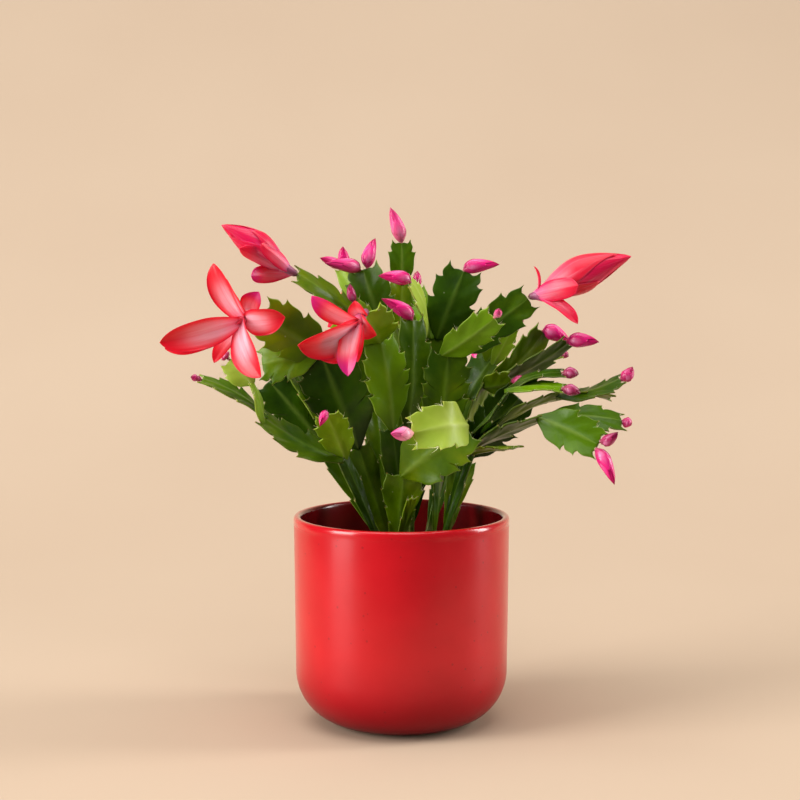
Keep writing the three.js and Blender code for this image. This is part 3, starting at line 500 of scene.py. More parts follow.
# Where each stem leaves the mix, then its blades in the order they grew. A blade is its letter,
# after the letter of the one it grows from, then its tip, its width, the turn of its face from the
# front in degrees, its bow towards that face in mm, and its youth from 0 (old, dark) to 1 (new,
# lime).
STEMS = {
    "stem_front": ((-4, -17), [
        ("a", (1, -34, 155), 27, 10, 2, 0.2), ("f", (6, -40, 142), 10, 30, 1, 0.2),
        ("ab", (36, -58, 186), 34, -8, 4, 0.35), ("bc", (6, -84, 185), 25, 20, 8, 1)]),
    "stem_centre": ((2, -4), [
        ("a", (-6, -20, 181), 22, 30, 1, 0.1), ("ab", (-13, -30, 233), 27, 35, 3, 0.5),
        ("bc", (-20, -54, 250), 27, 0, 3, 0.5)]),
    "stem_middle": ((6, 8), [
        ("a", (4, 2, 180), 20, 60, 1, 0.1), ("ab", (6, -8, 244), 22, 35, 3, 0.35),
        ("ac", (-3, 9, 238), 20, 75, 2, 0.2)]),
    "stem_right_upright": ((18, -8), [
        ("a", (23, -18, 179), 17, 62, 1, 0.15), ("ab", (27, -22, 225), 28, 12, 2, 0.2),
        ("bc", (53, -44, 247), 19, 15, 3, 0.6), ("bd", (74, -20, 257), 22, 0, 3, 0.25)]),
    "stem_left_tall": ((-7, -5), [
        ("a", (-26, -22, 170), 21, 25, 1, 0.15), ("ab", (-47, -34, 226), 36, 5, 3, 0.2),
        ("bc", (-80, -40, 248), 30, -10, 3, 0.25), ("bd", (-81, -30, 219), 24, 20, 2, 0.4)]),
    "stem_left_front": ((-12, -14), [
        ("a", (-34, -38, 165), 13, 45, 1, 0.1), ("at", (-42, -62, 193), 19, 0, -2, 0.55),
        ("ab", (-80, -40, 188), 24, 62, -3, 0.15), ("bc", (-115, -44, 211), 17, 76, 3, 0.45),
        ("bd", (-86, -52, 211), 16, 80, 1, 0.7), ("de", (-98, -50, 223), 17, 0, 1, 0.8)]),
    "stem_left_back": ((-11, 6), [
        ("a", (-46, 10, 169), 20, 30, 1, 0.1), ("ab", (-80, 6, 206), 27, 20, 2, 0.3),
        ("ac", (-76, 15, 226), 18, 65, 2, 0.35)]),
    "stem_top_left": ((-7, 16), [
        ("a", (-16, 28, 186), 24, 30, 1, 0.1), ("ab", (-16, 22, 236), 28, 10, 2, 0.2),
        ("bc", (-23, 24, 273), 27, -15, 2, 0.4), ("bm", (-62, 0, 270), 21, 58, 3, 0.3),
        ("be", (-36, 38, 274), 15, 0, 1, 0.7), ("bf", (-28, 10, 253), 10, 20, 1, 0.7)]),
    "stem_top": ((-2, 32), [
        ("a", (-2, 45, 175), 22, 0, 1, 0.1), ("ab", (-2, 52, 228), 24, -10, 1, 0.2),
        ("bc", (0, 50, 264), 20, 15, 2, 0.35), ("cd", (0, 50, 289), 16, 10, 1, 0.45)]),
    "stem_top_right": ((3, 20), [
        ("a", (15, 24, 176), 22, 20, 1, 0.1), ("ab", (18, 22, 232), 24, 0, 2, 0.2),
        ("bc", (5, -2, 266), 17, 75, 4, 0.85), ("bd", (38, 24, 272), 28, -5, 2, 0.2),
        ("be", (10, 34, 261), 12, 0, 1, 0.6)]),
    "stem_right_mid": ((14, 19), [
        ("a", (31, 24, 162), 15, 40, 1, 0.1), ("ab", (52, 14, 203), 20, 65, 2, 0.3),
        ("bc", (66, -2, 207), 18, 30, 1, 0.4), ("bd", (85, 8, 236), 20, 40, 3, 0.35),
        ("be", (98, -9, 231), 18, 55, 3, 0.4), ("bf", (96, 20, 221), 14, -70, 2, 0.6)]),
    "stem_right_back": ((16, 33), [
        ("a", (28, 48, 166), 18, 20, 1, 0.1), ("ab", (43, 52, 193), 20, 20, 1, 0.2),
        ("bc", (56, 50, 215), 26, -30, 1, 0.2), ("cd", (65, 48, 232), 20, 20, 1, 0.5),
        ("ce", (69, 44, 236), 11, 0, 1, 0.6)]),
    "stem_right_low": ((23, -15), [
        ("a", (40, -26, 167), 14, -55, 1, 0.15), ("ab", (81, -38, 188), 22, -112, 2, 0.2),
        ("ac", (64, -52, 173), 17, -110, 1, 0.25), ("bd", (112, -56, 175), 23, -20, 2, 0.45),
        ("be", (128, -34, 186), 19, -50, 3, 0.4)]),
    "stem_right_out": ((26, 8), [
        ("a", (33, 8, 160), 14, 20, 1, 0.1), ("ab", (70, 0, 197), 30, 20, 2, 0.1),
        ("ac", (58, -16, 183), 16, -80, 1, 0.2), ("cd", (93, -16, 199), 18, -112, 2, 0.25),
        ("de", (129, -18, 209), 18, -70, -3, 0.35), ("df", (124, -10, 198), 16, -100, 2, 0.3),
        ("ag", (44, -12, 178), 14, 70, 1, 0.2), ("gh", (63, -22, 203), 15, 80, 1, 0.2),
        ("hi", (94, -24, 213), 15, -80, 3, 0.35), ("hj", (93, -34, 205), 16, -75, 2, 0.5)]),
    "stem_back_left": ((-14, 27), [
        ("a", (-28, 44, 160), 20, 30, 1, 0.1), ("ab", (-44, 66, 200), 28, 30, 2, 0.2),
        ("bc", (-66, 88, 227), 26, 40, 2, 0.4), ("bd", (-36, 96, 233), 24, 10, 2, 0.4)]),
    "stem_back": ((4, 44), [
        ("a", (8, 66, 155), 22, 10, 1, 0.1), ("ab", (14, 92, 191), 28, -20, 2, 0.2),
        ("bc", (4, 112, 223), 26, 20, 2, 0.4), ("bd", (36, 108, 217), 24, -30, 2, 0.5)]),
    "stem_back_right": ((27, 22), [
        ("a", (40, 40, 153), 18, -20, 1, 0.1), ("ab", (60, 68, 185), 26, -40, 2, 0.2),
        ("bc", (50, 94, 209), 24, -20, 2, 0.5)]),
}

# Each bud: the stem and blade it sits on, its tip, its width, and its shade: dusky (0), plain
# magenta (0.5) or pale (1)
BUDS = {
    "bud_front": (("stem_front", "c"), (-6, -95, 186), 7.5, 1.0),
    "bud_middle": (("stem_middle", "b"), (-12, -16, 257), 8, 0.5),
    "bud_right_upright": (("stem_right_upright", "c"), (55, -53, 252), 4, 0.8),
    "bud_left_droop": (("stem_left_front", "t"), (-46, -70, 187), 4.5, 0.45),
    "bud_left_far": (("stem_left_front", "c"), (-121, -47, 213), 4, 0.15),
    "bud_left_young": (("stem_left_front", "e"), (-104, -50, 228), 4.5, 0.2),
    "bud_crown_long": (("stem_top_left", "c"), (-46, 6, 277), 8, 0.6),
    "bud_crown_right": (("stem_top_left", "c"), (-16, 31, 292), 8, 0.5),
    "bud_crown_small": (("stem_top_left", "e"), (-36, 34, 287), 6.5, 0.5),
    "bud_crown_left": (("stem_top_left", "e"), (-50, 28, 280), 6, 0.6),
    "bud_crown_thin": (("stem_top_left", "f"), (-31, 8, 265), 5, 0.2),
    "bud_top": (("stem_top", "d"), (-7, 48, 311), 8.5, 0.66),
    "bud_arched": (("stem_top_right", "c"), (-14, -7, 270), 8, 0.5),
    "bud_right_high": (("stem_top_right", "d"), (60, 26, 276), 8, 0.5),
    "bud_upright": (("stem_top_right", "e"), (10, 35, 272), 5.5, 0.35),
    "bud_right_pair": (("stem_right_mid", "d"), (102, 7, 229), 9, 0.5),
    "bud_right_pair_far": (("stem_right_mid", "e"), (117, -12, 231), 8.5, 0.5),
    "bud_right_inner": (("stem_right_mid", "c"), (76, -6, 206), 6.5, 0.6),
    "bud_right_thin": (("stem_right_mid", "f"), (102, 20, 220), 4.5, 0.1),
    "bud_right_back": (("stem_right_back", "e"), (76, 42, 241), 6, 0.5),
    "bud_right_hanging": (("stem_right_low", "d"), (121, -63, 153), 7.5, 0.54),
    "bud_right_low": (("stem_right_low", "d"), (123, -60, 183), 6, 0.0),
    "bud_right_edge": (("stem_right_low", "e"), (134, -34, 184), 6, 0.3),
    "bud_far_right": (("stem_right_out", "e"), (136, -18, 217), 7, 0.28),
    "bud_slim_upper": (("stem_right_out", "i"), (104, -24, 213), 6.5, 0.12),
    "bud_slim_lower": (("stem_right_out", "j"), (104, -35, 203), 6.5, 0.0),
    "bud_back_left": (("stem_back_left", "c"), (-79, 100, 235), 8, 0.5),
    "bud_back": (("stem_back", "c"), (0, 124, 237), 7.5, 0.5),
    "bud_back_low": (("stem_back", "d"), (46, 122, 221), 7, 0.5),
    "bud_back_right": (("stem_back_right", "c"), (48, 108, 217), 7, 0.5),
}

# Each bloom: the stem and blade it sits on, the mouth of its tube, its heart of tepals that are
# still closed (tip and width) or None, and its open tepals. A tepal is where it leaves the tube
# (0 foot, 1 mouth), its tip, its width, its bow along the bloom's axis, and how far its face is
# turned from that axis in degrees.
BLOOMS = {
    "bloom_left": (("stem_left_tall", "c"), (-94, -62, 244), None, [
        (1.0, (-134, -78, 235), 17, 4, 0),
        (0.95, (-132, -72, 231), 15, 2, 0),
        (0.9, (-106, -66, 278), 15, 4, 0),
        (0.8, (-101, -52, 270), 10, 3, 0),
        (0.6, (-82, -54, 262), 14, 3, 0),
        (0.9, (-66, -66, 248), 16, 4, 0),
        (0.95, (-79, -82, 216), 19, 4, 0),
        (0.6, (-106, -62, 223), 11, 3, 0),
    ]),
    "bloom_centre": (("stem_centre", "c"), (-26, -74, 242), None, [
        (1.0, (-56, -92, 234), 21, 4, 0),
        (0.95, (-46, -84, 227), 19, 3, 0),
        (0.9, (-50, -80, 260), 13, 3, 0),
        (0.6, (-26, -68, 257), 11, 3, 0),
        (0.7, (-15, -74, 239), 13, 3, 0),
        (0.95, (-30, -90, 218), 13, 4, 0),
        (0.7, (-25, -82, 225), 10, 2, 0),
    ]),
    "bloom_upper_left": (("stem_top_left", "m"), (-75, -4, 278), ((-106, -12, 300), 17), [
        (0.4, (-89, -14, 270), 11, 3, 75),
        (0.6, (-95, -17, 287), 11, -2, 0),
        (0.5, (-83, -16, 289), 10, -2, 0),
    ]),
    "bloom_right": (("stem_right_upright", "d"), (85, -24, 259), ((133, -32, 282), 21), [
        (0.45, (102, -41, 266), 13, -3, 0),
        (0.7, (102, -36, 244), 9, 3, 55),
        (0.6, (78, -28, 276), 4, 2, 0),
    ]),
    "bloom_back": (("stem_back_left", "d"), (-34, 112, 239), ((-34, 148, 257), 16), [
        (0.7, (-48, 124, 233), 10, 2, 0),
        (0.7, (-22, 126, 237), 10, 2, 0),
        (0.6, (-36, 122, 255), 9, 2, 0),
    ]),
}


def wobble(index, use):
    """A repeatable number from 0 to 1: the fraction of 43758.5453 sin(12.9898 i + 78.233 u)."""
    value = np.sin(index * 12.9898 + use * 78.233) * 43758.5453
    return value - np.floor(value)


def unit(p):
    """p / |p|"""
    return p / np.linalg.norm(p, axis=-1, keepdims=True)


def square(p, d):
    """The part of p that is square to the unit direction d, as a unit direction."""
    return unit(p - d * np.sum(p * d, axis=-1, keepdims=True))


def swung(first, second, angle):
    """first cos(angle) + second sin(angle)"""
    return first * np.cos(angle) + second * np.sin(angle)


def front_of(direction, along, limit):
    """The front, square to along, or up instead where direction looks to the front by over limit."""
    return square(np.array([0, 0, 1.0] if abs(direction[1]) > limit else [0, -1.0, 0]), along)


def face_turned(face, along, turn):
    """A face's way, turned about along by turn degrees."""
    return swung(face, np.cross(along, face), np.radians(turn))


def frame_of(foot, tip, turn):
    """A blade's direction, the way its face looks, which is turned from the front about that
    direction, the way to its edge, and its length."""
    along = unit(tip - foot)
    face = face_turned(front_of(along, along, BLADE_STEEP), along, turn)
    return along, face, np.cross(along, face), np.linalg.norm(tip - foot)


def run(start, end, count, full, early):
    """Points after start to end: the straight way with count steps, and outward from it by
    full sin(pi t) + early sin(2 pi t)."""
    t = np.arange(1, count + 1)[:, None] / count
    chord = end - start
    outward = np.array([-chord[1], chord[0]]) / np.linalg.norm(chord)
    return start + t * chord + outward * (full * np.sin(np.pi * t) + early * np.sin(2 * np.pi * t))


def margin(length, width, youth, lowest, index, edge):
    """One edge of a blade as (along, out) in mm: a narrow foot that swells (slowly on the lowest
    blades), a convex run up to each tooth that ends in a claw, a short hook back to its notch, a
    horn and the cut-off end. Also gives the row of the horn, the teeth's tips and the notches."""
    full_at = FULL_AT * (1 - YOUNG_FULLER * youth * youth)

    def swell(a):
        """Half the width at share a of the length. It grows as sin(pi/2 a) or, on the lowest
        blades, as a^1.5 until it is full, and tapers towards the end."""
        grown = (min(1, a / LOWEST_FULL_AT) ** 1.5 if lowest
                 else np.sin(np.pi / 2 * min(1, a / full_at)))
        taper = 1 - END_TAPER * max(0, (a - 0.7) / 0.3)
        return width / 2 * (FOOT_SHARE + (1 - FOOT_SHARE) * grown) * taper

    softer = (1 - YOUNG_SOFTER * youth * youth) * (1 - LOWEST_SOFTER * lowest)
    teeth = 1 + sum(length > long and width > wide for long, wide in MORE_TEETH)
    depth = TOOTH_DEPTH * min(1, width / WIDE_BLADE) * softer
    foot = np.array([0, STALK_HALF_WIDTH])
    notch = np.array([NOTCH_FROM * length, swell(NOTCH_FROM)])
    pieces, tips, notches = [foot[None], run(foot, notch, 5, 0, 0)], [], []
    for k in range(teeth + 1):
        at = TEETH_FROM + TEETH_SPAN * (k + 0.45 + 0.35 * wobble(index, edge + k)) / teeth
        place = np.array([at * length, swell(at)])
        tip, end = place + depth * TOOTH_TIP, place + depth * TOOTH_BACK
        if k == teeth:
            tip = np.array([length + 0.8 * depth, HORN_OUT * swell(1)])
            end = np.array([0.985 * length, 0.5 * swell(1)])
        pieces.append(run(notch, tip, 9, 0.2 * depth, 0.16 * depth))
        pieces.append(run(tip, end, 4, -0.16 * depth, 0))
        tips.append(tip)
        notches.append(end)
        notch = end
    pieces.append(run(notch, np.array([length, 0.5]), 4, 0.1 * depth, 0))
    return np.vstack(pieces), 5 + 13 * teeth + 9, tips, notches


def bristles(roots, ways, youth, index):
    """Fine hairs that fan out, a few from each root: one leaves at a mix of its root's way and a
    repeatable random way, bends up and, on a young blade, where they are long, curls sideways by
    t^2, and tapers to a point. It is four-sided, over 4 rings, and closed at both ends."""
    count = BRISTLES_EACH * len(roots)
    use = USES["bristles"] + np.arange(4)[:, None]
    random = wobble(index + np.arange(count)[None] * 1.7, use)
    way = unit(np.repeat(ways, BRISTLES_EACH, axis=0) + 1.1 * (random[:3].T - 0.5))
    growth = 1 + BRISTLE_GROWTH * youth * youth
    size = (1.0 + 1.3 * random[3])[:, None, None] * growth
    curl = [0, 0, 0.35] + youth * youth * np.cross(way, unit(random[1:].T - 0.5))[:, None]
    t = np.array([0, 0.3, 0.65, 1])[None, :, None]
    roots = np.repeat(roots, BRISTLES_EACH, axis=0)[:, None]
    line = roots + size * (way[:, None] * t + curl * t * t)
    side = unit(np.cross(way, [0.3, 0.5, 0.8]))
    angle = round_angles(4)[None, None, :, None]
    ring = swung(side[:, None, None], np.cross(way, side)[:, None, None], angle)
    radius = BRISTLE_RADIUS * growth * (1 - 0.8 * t)
    points = (line[:, :, None] + ring * radius[..., None]).reshape(-1, 3)
    corner = np.arange(16).reshape(4, 4)
    wall = weave(np.hstack([corner, corner[:, :1]]))
    hair = np.concatenate([wall, [(0, 1, 2), (0, 2, 3), (12, 14, 13), (12, 15, 14)]])
    triangles = (hair[None] + 16 * np.arange(count)[:, None, None]).reshape(-1, 3)
    return points, facing_out(points, triangles), {"tone": 0.5, "youth": youth, "bristle": 1.0}


def sheet(middle, lift, **grids):
    """A closed sheet on a grid [row, column] of points: its faces stand lift to either side of
    them, they share the points of the first and last columns, and strips close the end rows.
    Each grid of numbers becomes a field that is the same on both faces."""
    rows, columns = middle.shape[:2]
    upper = np.arange(rows * columns).reshape(rows, columns)
    lower = upper.copy()
    lower[:, 1:-1] = rows * columns + np.arange(rows * (columns - 2)).reshape(rows, columns - 2)
    points = np.vstack([(middle + lift).reshape(-1, 3), (middle - lift)[:, 1:-1].reshape(-1, 3)])
    triangles = np.concatenate([
        weave(upper), weave(lower)[:, ::-1],
        weave(np.stack([lower[0], upper[0]])), weave(np.stack([upper[-1], lower[-1]])),
    ])
    fields = {}
    for name, grid in grids.items():
        grid = np.broadcast_to(grid, upper.shape)
        fields[name] = np.concatenate([grid.reshape(-1), grid[:, 1:-1].reshape(-1)])
    return points, facing_out(points, triangles), fields


def joined(parts):
    """Several (points, triangles, fields) as one. A field is a number for each point or one for
    all, and is 0 where a part has none."""
    start = np.cumsum([0] + [len(points) for points, _, _ in parts])
    triangles = np.concatenate([faces + first for (_, faces, _), first in zip(parts, start)])
    names = dict.fromkeys(name for _, _, fields in parts for name in fields)
    return (np.vstack([points for points, _, _ in parts]), triangles,
            {name: np.concatenate([np.full(len(points), fields.get(name, 0), float)
                                   for points, _, fields in parts]) for name in names})


def blade(foot, tip, width, turn, bow, youth, lowest, index):
    """One blade. In its plane a row runs straight from a point of the midrib to one of the margin.
    A point then rises by bow 4a(1 - a) + cup s s + wave s|s| sin(8a + phase) from that plane,
    which is twisted, with a its share of the length and s its share of the half width, and by low
    pillows between the side veins, s(1 - s) cos(20(a - 0.3 s)). It is thick on the ridge,
    exp(-(out / ridge)^2), and rounds off at the edge as a quarter ellipse. Bristles stand in the
    notches and at the end. Gives the blade and its bristles."""
    along, face, side, length = frame_of(foot, tip, turn)
    foot, length = foot - along * BLADE_SINK, length + BLADE_SINK
    edges = [margin(length, width, youth, lowest, index, USES["teeth"] + 5 * sign)
             for sign in (1, -1)]
    horn = edges[0][1]
    reach = [np.r_[0, np.cumsum(np.linalg.norm(np.diff(line, axis=0), axis=1))]
             for line, *_ in edges]
    climb = np.mean([r / r[horn] for r in reach], axis=0)
    beyond = np.mean([(r - r[horn]) / (r[-1] - r[horn]) for r in reach], axis=0)
    rib = length * np.where(np.arange(len(climb)) <= horn, RIB_AT_HORN * climb,
                            RIB_AT_HORN + (1 - RIB_AT_HORN) * beyond)
    halves = []
    for (line, *_), sign in zip(edges, (1, -1)):
        span = np.hypot(line[:, 0] - rib, line[:, 1])[:, None]
        rim = np.minimum(0.3, 0.6 / np.maximum(span, 0.6))
        inner = np.array([[0, 0.07, 0.16, 0.3, 0.48, 0.68, 0.86]])
        outer = np.array([[1, 0.55, 0.2, 0]])
        share = np.hstack([inner * (1 - rim), 1 - outer * rim])
        round_off = np.hstack([np.ones_like(inner), np.sqrt(1 - (1 - outer) ** 2)]) + 0 * share
        halves.append((share * line[:, :1] + (1 - share) * rib[:, None],
                       sign * share * line[:, 1:], share, round_off))
    distance, out, share, round_off = (
        np.hstack([left[:, :0:-1], right]) for left, right in zip(*halves))
    cup = width * (CUP_LEAST + CUP_SPREAD * wobble(index, USES["cup"]))
    phase = 2 * np.pi * wobble(index, USES["wave"])

    def place(distance, out):
        """Where a point lies that is this far along the blade and out from its midrib."""
        a, s = distance / length, 2 * out / width
        angle = np.radians(TWIST * (wobble(index, USES["twist"]) - 0.5)) * (a - LEVEL_FROM)
        pillow = np.clip(np.abs(s) * (1 - np.abs(s)) * 4, 0, 1)
        pillow = pillow * np.cos(20 * (a - 0.3 * np.abs(s)) + phase)
        rise = (bow * 4 * a * (1 - a) + cup * s * s * np.minimum(1, 3 * a)
                + PILLOW * (1 - YOUNG_FLATTER * youth) * pillow
                + WAVE * width * s * np.abs(s) * np.sin(8 * a + phase))
        slant = swung(side, face, angle[..., None])
        return foot + along * distance[..., None] + slant * out[..., None] + face * rise[..., None]

    a, middle = distance / length, place(distance, out)
    rib_half = (1.15 - 0.3 * a) * RIB_HALF * min(1, width / RIB_WIDTH + 0.2)
    ridge = 0.35 * (1 - share) + 0.65 * np.exp(-(out / (RIDGE * min(1, width / RIB_WIDTH))) ** 2)
    thick = (MARGIN_HALF + (rib_half - MARGIN_HALF) * ridge) * round_off
    tips, notches = (np.array([(along_it, sign * out_it) for edge, sign in zip(edges, (1, -1))
                               for along_it, out_it in edge[kind]]) for kind in (2, 3))
    to_tip = np.hypot(distance[..., None] - tips[:, 0], out[..., None] - tips[:, 1]).min(-1)
    points, triangles, fields = sheet(middle, face * thick[..., None], across=share, up=a,
                                      claw=np.exp(-to_tip / CLAW_REACH))
    wood = np.clip(1 - (points[:, 2] - SOIL_LEVEL - WOOD_TOP) / WOOD_FADE, 0, 1) * lowest
    fields |= {"youth": youth, "tone": wobble(index, USES["tone"]), "wood": wood}
    roots = np.vstack([notches - [0.3, 0], [(length - 0.2, 0)]])
    ways = along * 0.8 + side * np.sign(roots[:, 1:]) * 0.7 + face * 0.15
    return [(points, triangles, fields), bristles(place(*roots.T), ways, youth, index)]


def stub(x, y):
    """The foot of a stem in the mix: rings whose radius tapers up into the first blade, with five
    low ribs, 1 + 0.1 cos(5t + x)."""
    height = np.array([-STUB_DEPTH, 0.6 - STUB_DEPTH, -8, -1, 1,
                       STUB_RISE, STUB_RISE + 3, STUB_RISE + 5])
    radius = STUB_RADIUS * np.array([0.6, 0.95, 1, 1, 0.95, 0.86, 0.6, 0.3])[:, None]
    angle = round_angles(20)[None]
    radius = radius * (1 + 0.1 * np.cos(5 * angle + x))
    rings = np.stack([x + radius * np.cos(angle), y + radius * np.sin(angle),
                      SOIL_LEVEL + height[:, None] + 0 * angle], -1)
    points, triangles = closed_rings(rings, (x, y, SOIL_LEVEL - STUB_DEPTH),
                                     (x, y, SOIL_LEVEL + STUB_RISE + 5.6))
    return points, facing_out(points, triangles), {"tone": 0.4, "wood": 1.0}


def seats_on(end, side, width, growing):
    """Where each thing that grows from a blade's end starts: side by side, evenly spaced, in the
    order in which their tips lean."""
    lean = {name: np.dot(np.array(tip, float) - end, side) for name, tip in growing}
    order = sorted(lean, key=lean.get)
    spacing = min(TIP_SPACING, 0.5 * width / max(1, len(order)))
    return {name: end + side * spacing * (k - (len(order) - 1) / 2)
            for k, name in enumerate(order)}


def growing_from(stem, key):
    """What grows from the end of one blade: its next blades, its buds and its blooms."""
    return ([(name, tip) for name, tip, *_ in STEMS[stem][1] if name[:-1] == key]
            + [(name, tip) for things in (BUDS, BLOOMS)
               for name, (on, tip, *_) in things.items() if on == (stem, key)])


def stem_skin():
    """The skin of the blades: dark green when old, fresh green and at last lime when young, darkened
    towards each blade's foot by painted shade, a little lighter along the midrib, thin cream edges on
    young ones with a patchy painted highlight along the edges of all blades, red-brown claws,
    grey-brown cork near the mix, and an uneven waxy gloss with fine pores."""
    finish, net, shader = new_finish("stem_green")
    youth, across, tone, wood, up, claw, bristle = net.fields(
        "youth", "across", "tone", "wood", "up", "claw", "bristle")
    patch = net.times(net.cloud(48, 3), 0.6, net.times(tone, 0.4))
    old = net.ramp(patch, (0.25, "#183000"), (0.45, "#2e4c00"), (0.62, "#4c6600"), (0.8, "#707e00"))
    fresh = net.ramp(patch, (0.25, "#5a8400"), (0.6, "#74a004"), (0.85, "#94b41c"))
    young = net.ramp(patch, (0.25, "#90a832"), (0.6, "#b2c250"), (0.85, "#d0d98a"))
    look = net.blend(net.step(youth, 0.3, 0.65), old, fresh)
    look = net.blend(net.step(youth, 0.5, 1.0), look, young)
    # Painted shade: each blade darkens towards its foot.
    look = net.blend(net.step(up, 0.0, 0.45, 0.4, 0.0), look, "#142600")
    rib = net.blend(youth, "#5c8608", "#d0de7e")
    look = net.blend(net.times(net.step(across, 0.0, 0.2, 1.0, 0.0), 0.2), look, rib)
    # Painted highlight: a patchy pale line along the edge of every blade, over the cream margin of the
    # young ones.
    painted_edge_glint = net.step(net.cloud(130, 2), 0.45, 0.75, 0.0, 0.15)
    rim = net.times(net.step(across, 0.95, 1.0), net.times(youth, 0.35, painted_edge_glint))
    look = net.blend(rim, look, "#c6cf6c")
    horny = net.ramp(tone, (0.3, "#a99a52"), (0.7, "#7a4a26"))
    look = net.blend(net.times(net.step(claw, 0.35, 0.95), 0.8), look, horny)
    cork = net.ramp(net.cloud(420, 5), (0.35, "#46481f"), (0.6, "#7f7a48"), (0.75, "#aba47c"))
    look = net.blend(net.step(net.times(net.cloud(160, 4), 0.7, wood), 0.8, 1.4), look, cork)
    scales = net.group(SPECKS, {"Vector": net.place(), "Scale": 420, "Size": 0.2, "Rarity": 0.9})
    look = net.blend(net.times(scales, net.step(wood, 0.0, 0.5, 0.25, 1.0)), look, "#b9bda0")
    uneven = net.times(net.cloud(60, 1), 5.0, net.cloud(240, 1))
    pored = net.times(net.cloud(1500, 2), 0.15, uneven)
    feed(shader, {
        "Base Color": net.blend(bristle, look, net.blend(youth, "#cdbf98", "#eceebc")),
        "Roughness": net.times(net.cloud(140, 4), 0.2, net.times(youth, 0.04, 0.22)),
        "Specular IOR Level": 0.18,
        "Subsurface Weight": 0.1,
        "Subsurface Radius": (0.9, 1.0, 0.3),
        "Subsurface Scale": 0.001,
        "Normal": net.bump(net.times(pored, net.step(youth, 0.3, 1.0, 1.0, 0.3)), 0.22),
    })
    return finish


skin = stem_skin()
seats = {}
blade_count = 0
for stem_name, ((x, y), blades) in STEMS.items():
    parts = [stub(x, y)]
    ends = {}
    for name, tip, width, turn, bow, youth in blades:
        lowest = len(name) == 1
        foot = np.array([x, y, SOIL_LEVEL + STUB_RISE]) if lowest else ends[name]
        tip = np.array(tip, float)
        along, _, side, _ = frame_of(foot, tip, turn)
        growing = growing_from(stem_name, name[-1])
        for grown, point in seats_on(tip, side, width, growing).items():
            ends[grown] = point
            seats[grown] = (point + along * SEAT_LIFT, along)
        parts += blade(foot, tip, width, turn, bow, youth, lowest, blade_count)
        blade_count += 1
    points, triangles, fields = joined(parts)
    stem = new_piece(stem_name + "_skin", points, triangles, skin, fields)
    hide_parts(stem_name)


# The buds
# Each sits on the cut-off end of a blade: a short green-brown ovary, then overlapping tepals that
# close over one another to a point, small scales outside and long ones within. Soft petal tissue
# with a waxy gloss, bright magenta, dusky red while it is small.
BUD_NECK = 1.3
ROOT_SINK = 1.2
BUD_RINGS = [(0.17, 0.46), (0.3, 0.77), (0.52, 1), (0.76, 0.76), (0.92, 0.36)]
SMALL_BUD = 6
SMALL_RINGS = [(0.35, 0.82), (0.62, 1), (0.86, 0.6)]
LAYER = 0.085
SHELL_HALF = 0.13
SHELL_ROWS = 16
SHELL_COLUMNS = 11
BODY_ROWS = 26
BODY_SIDES = 20
BODY_STEEP = 0.9
WINDING = 0.5

# The shells of a bud, from the innermost: start and end along it, turn and half width in degrees,
# layer, and how far the tip stands off in mm
BUD_SHELLS = [
    (0.2, 1.0, 10, 78, 0.0, 0.0),
    (0.2, 0.99, 130, 76, 0.7, 0.0),
    (0.18, 0.97, 250, 76, 1.4, 0.04),
    (0.15, 0.76, 70, 64, 2.2, 0.14),
    (0.13, 0.62, 200, 58, 2.8, 0.16),
    (0.12, 0.5, 320, 56, 3.2, 0.16),
    (0.1, 0.34, 20, 52, 3.6, 0.16),
    (0.09, 0.28, 150, 50, 3.8, 0.16),
]


def bent_line(foot, lean, tip, a):
    """Points and directions at shares a of a curve that sets out along lean: the quadratic curve
    foot (1 - a)^2 + knee 2a(1 - a) + tip a^2, whose knee lies KNEE times lean from the foot."""
    a = np.asarray(a, float)[..., None]
    knee = foot + lean * min(KNEE, 0.45 * np.linalg.norm(tip - foot))
    points = foot * (1 - a) ** 2 + knee * 2 * a * (1 - a) + tip * a * a
    return points, unit((knee - foot) * (1 - a) + (tip - knee) * a)


def radius_at(rings, a):
    """The radius at shares a of a body's length, on a smooth curve from 0.8 of the first ring's
    through the rings to 0: in a gap the ends count 2t^3 - 3t^2 + 1 and 3t^2 - 2t^3 and their
    slopes t^3 - 2t^2 + t and t^3 - t^2; a slope is the mean of the straight ones beside it."""
    places, radii = np.array([(0, 0.8 * rings[0][1]), *rings, (1, 0)], float).T
    slope = np.diff(radii) / np.diff(places)
    slope = np.r_[slope[0], (slope[:-1] + slope[1:]) / 2, slope[-1]]
    k = np.clip(np.searchsorted(places, a, side="right") - 1, 0, len(places) - 2)
    gap = places[k + 1] - places[k]
    t = (a - places[k]) / gap
    level = radii[k] * (2 * t ** 3 - 3 * t ** 2 + 1) + radii[k + 1] * (3 * t ** 2 - 2 * t ** 3)
    return level + gap * (slope[k] * (t ** 3 - 2 * t ** 2 + t) + slope[k + 1] * (t ** 3 - t ** 2))


def around_line(foot, lean, tip, a, angle, radius):
    """Points at a radius and angle round a bent line, and the way out from it there. The angle
    starts at the line's side and winds on by WINDING radians from foot to tip."""
    points, along = bent_line(foot, lean, tip, a)
    face = front_of(unit(tip - foot), along, BODY_STEEP)
    way = swung(np.cross(along, face), face, (angle + WINDING * a)[..., None])
    return points + way * radius[..., None], way


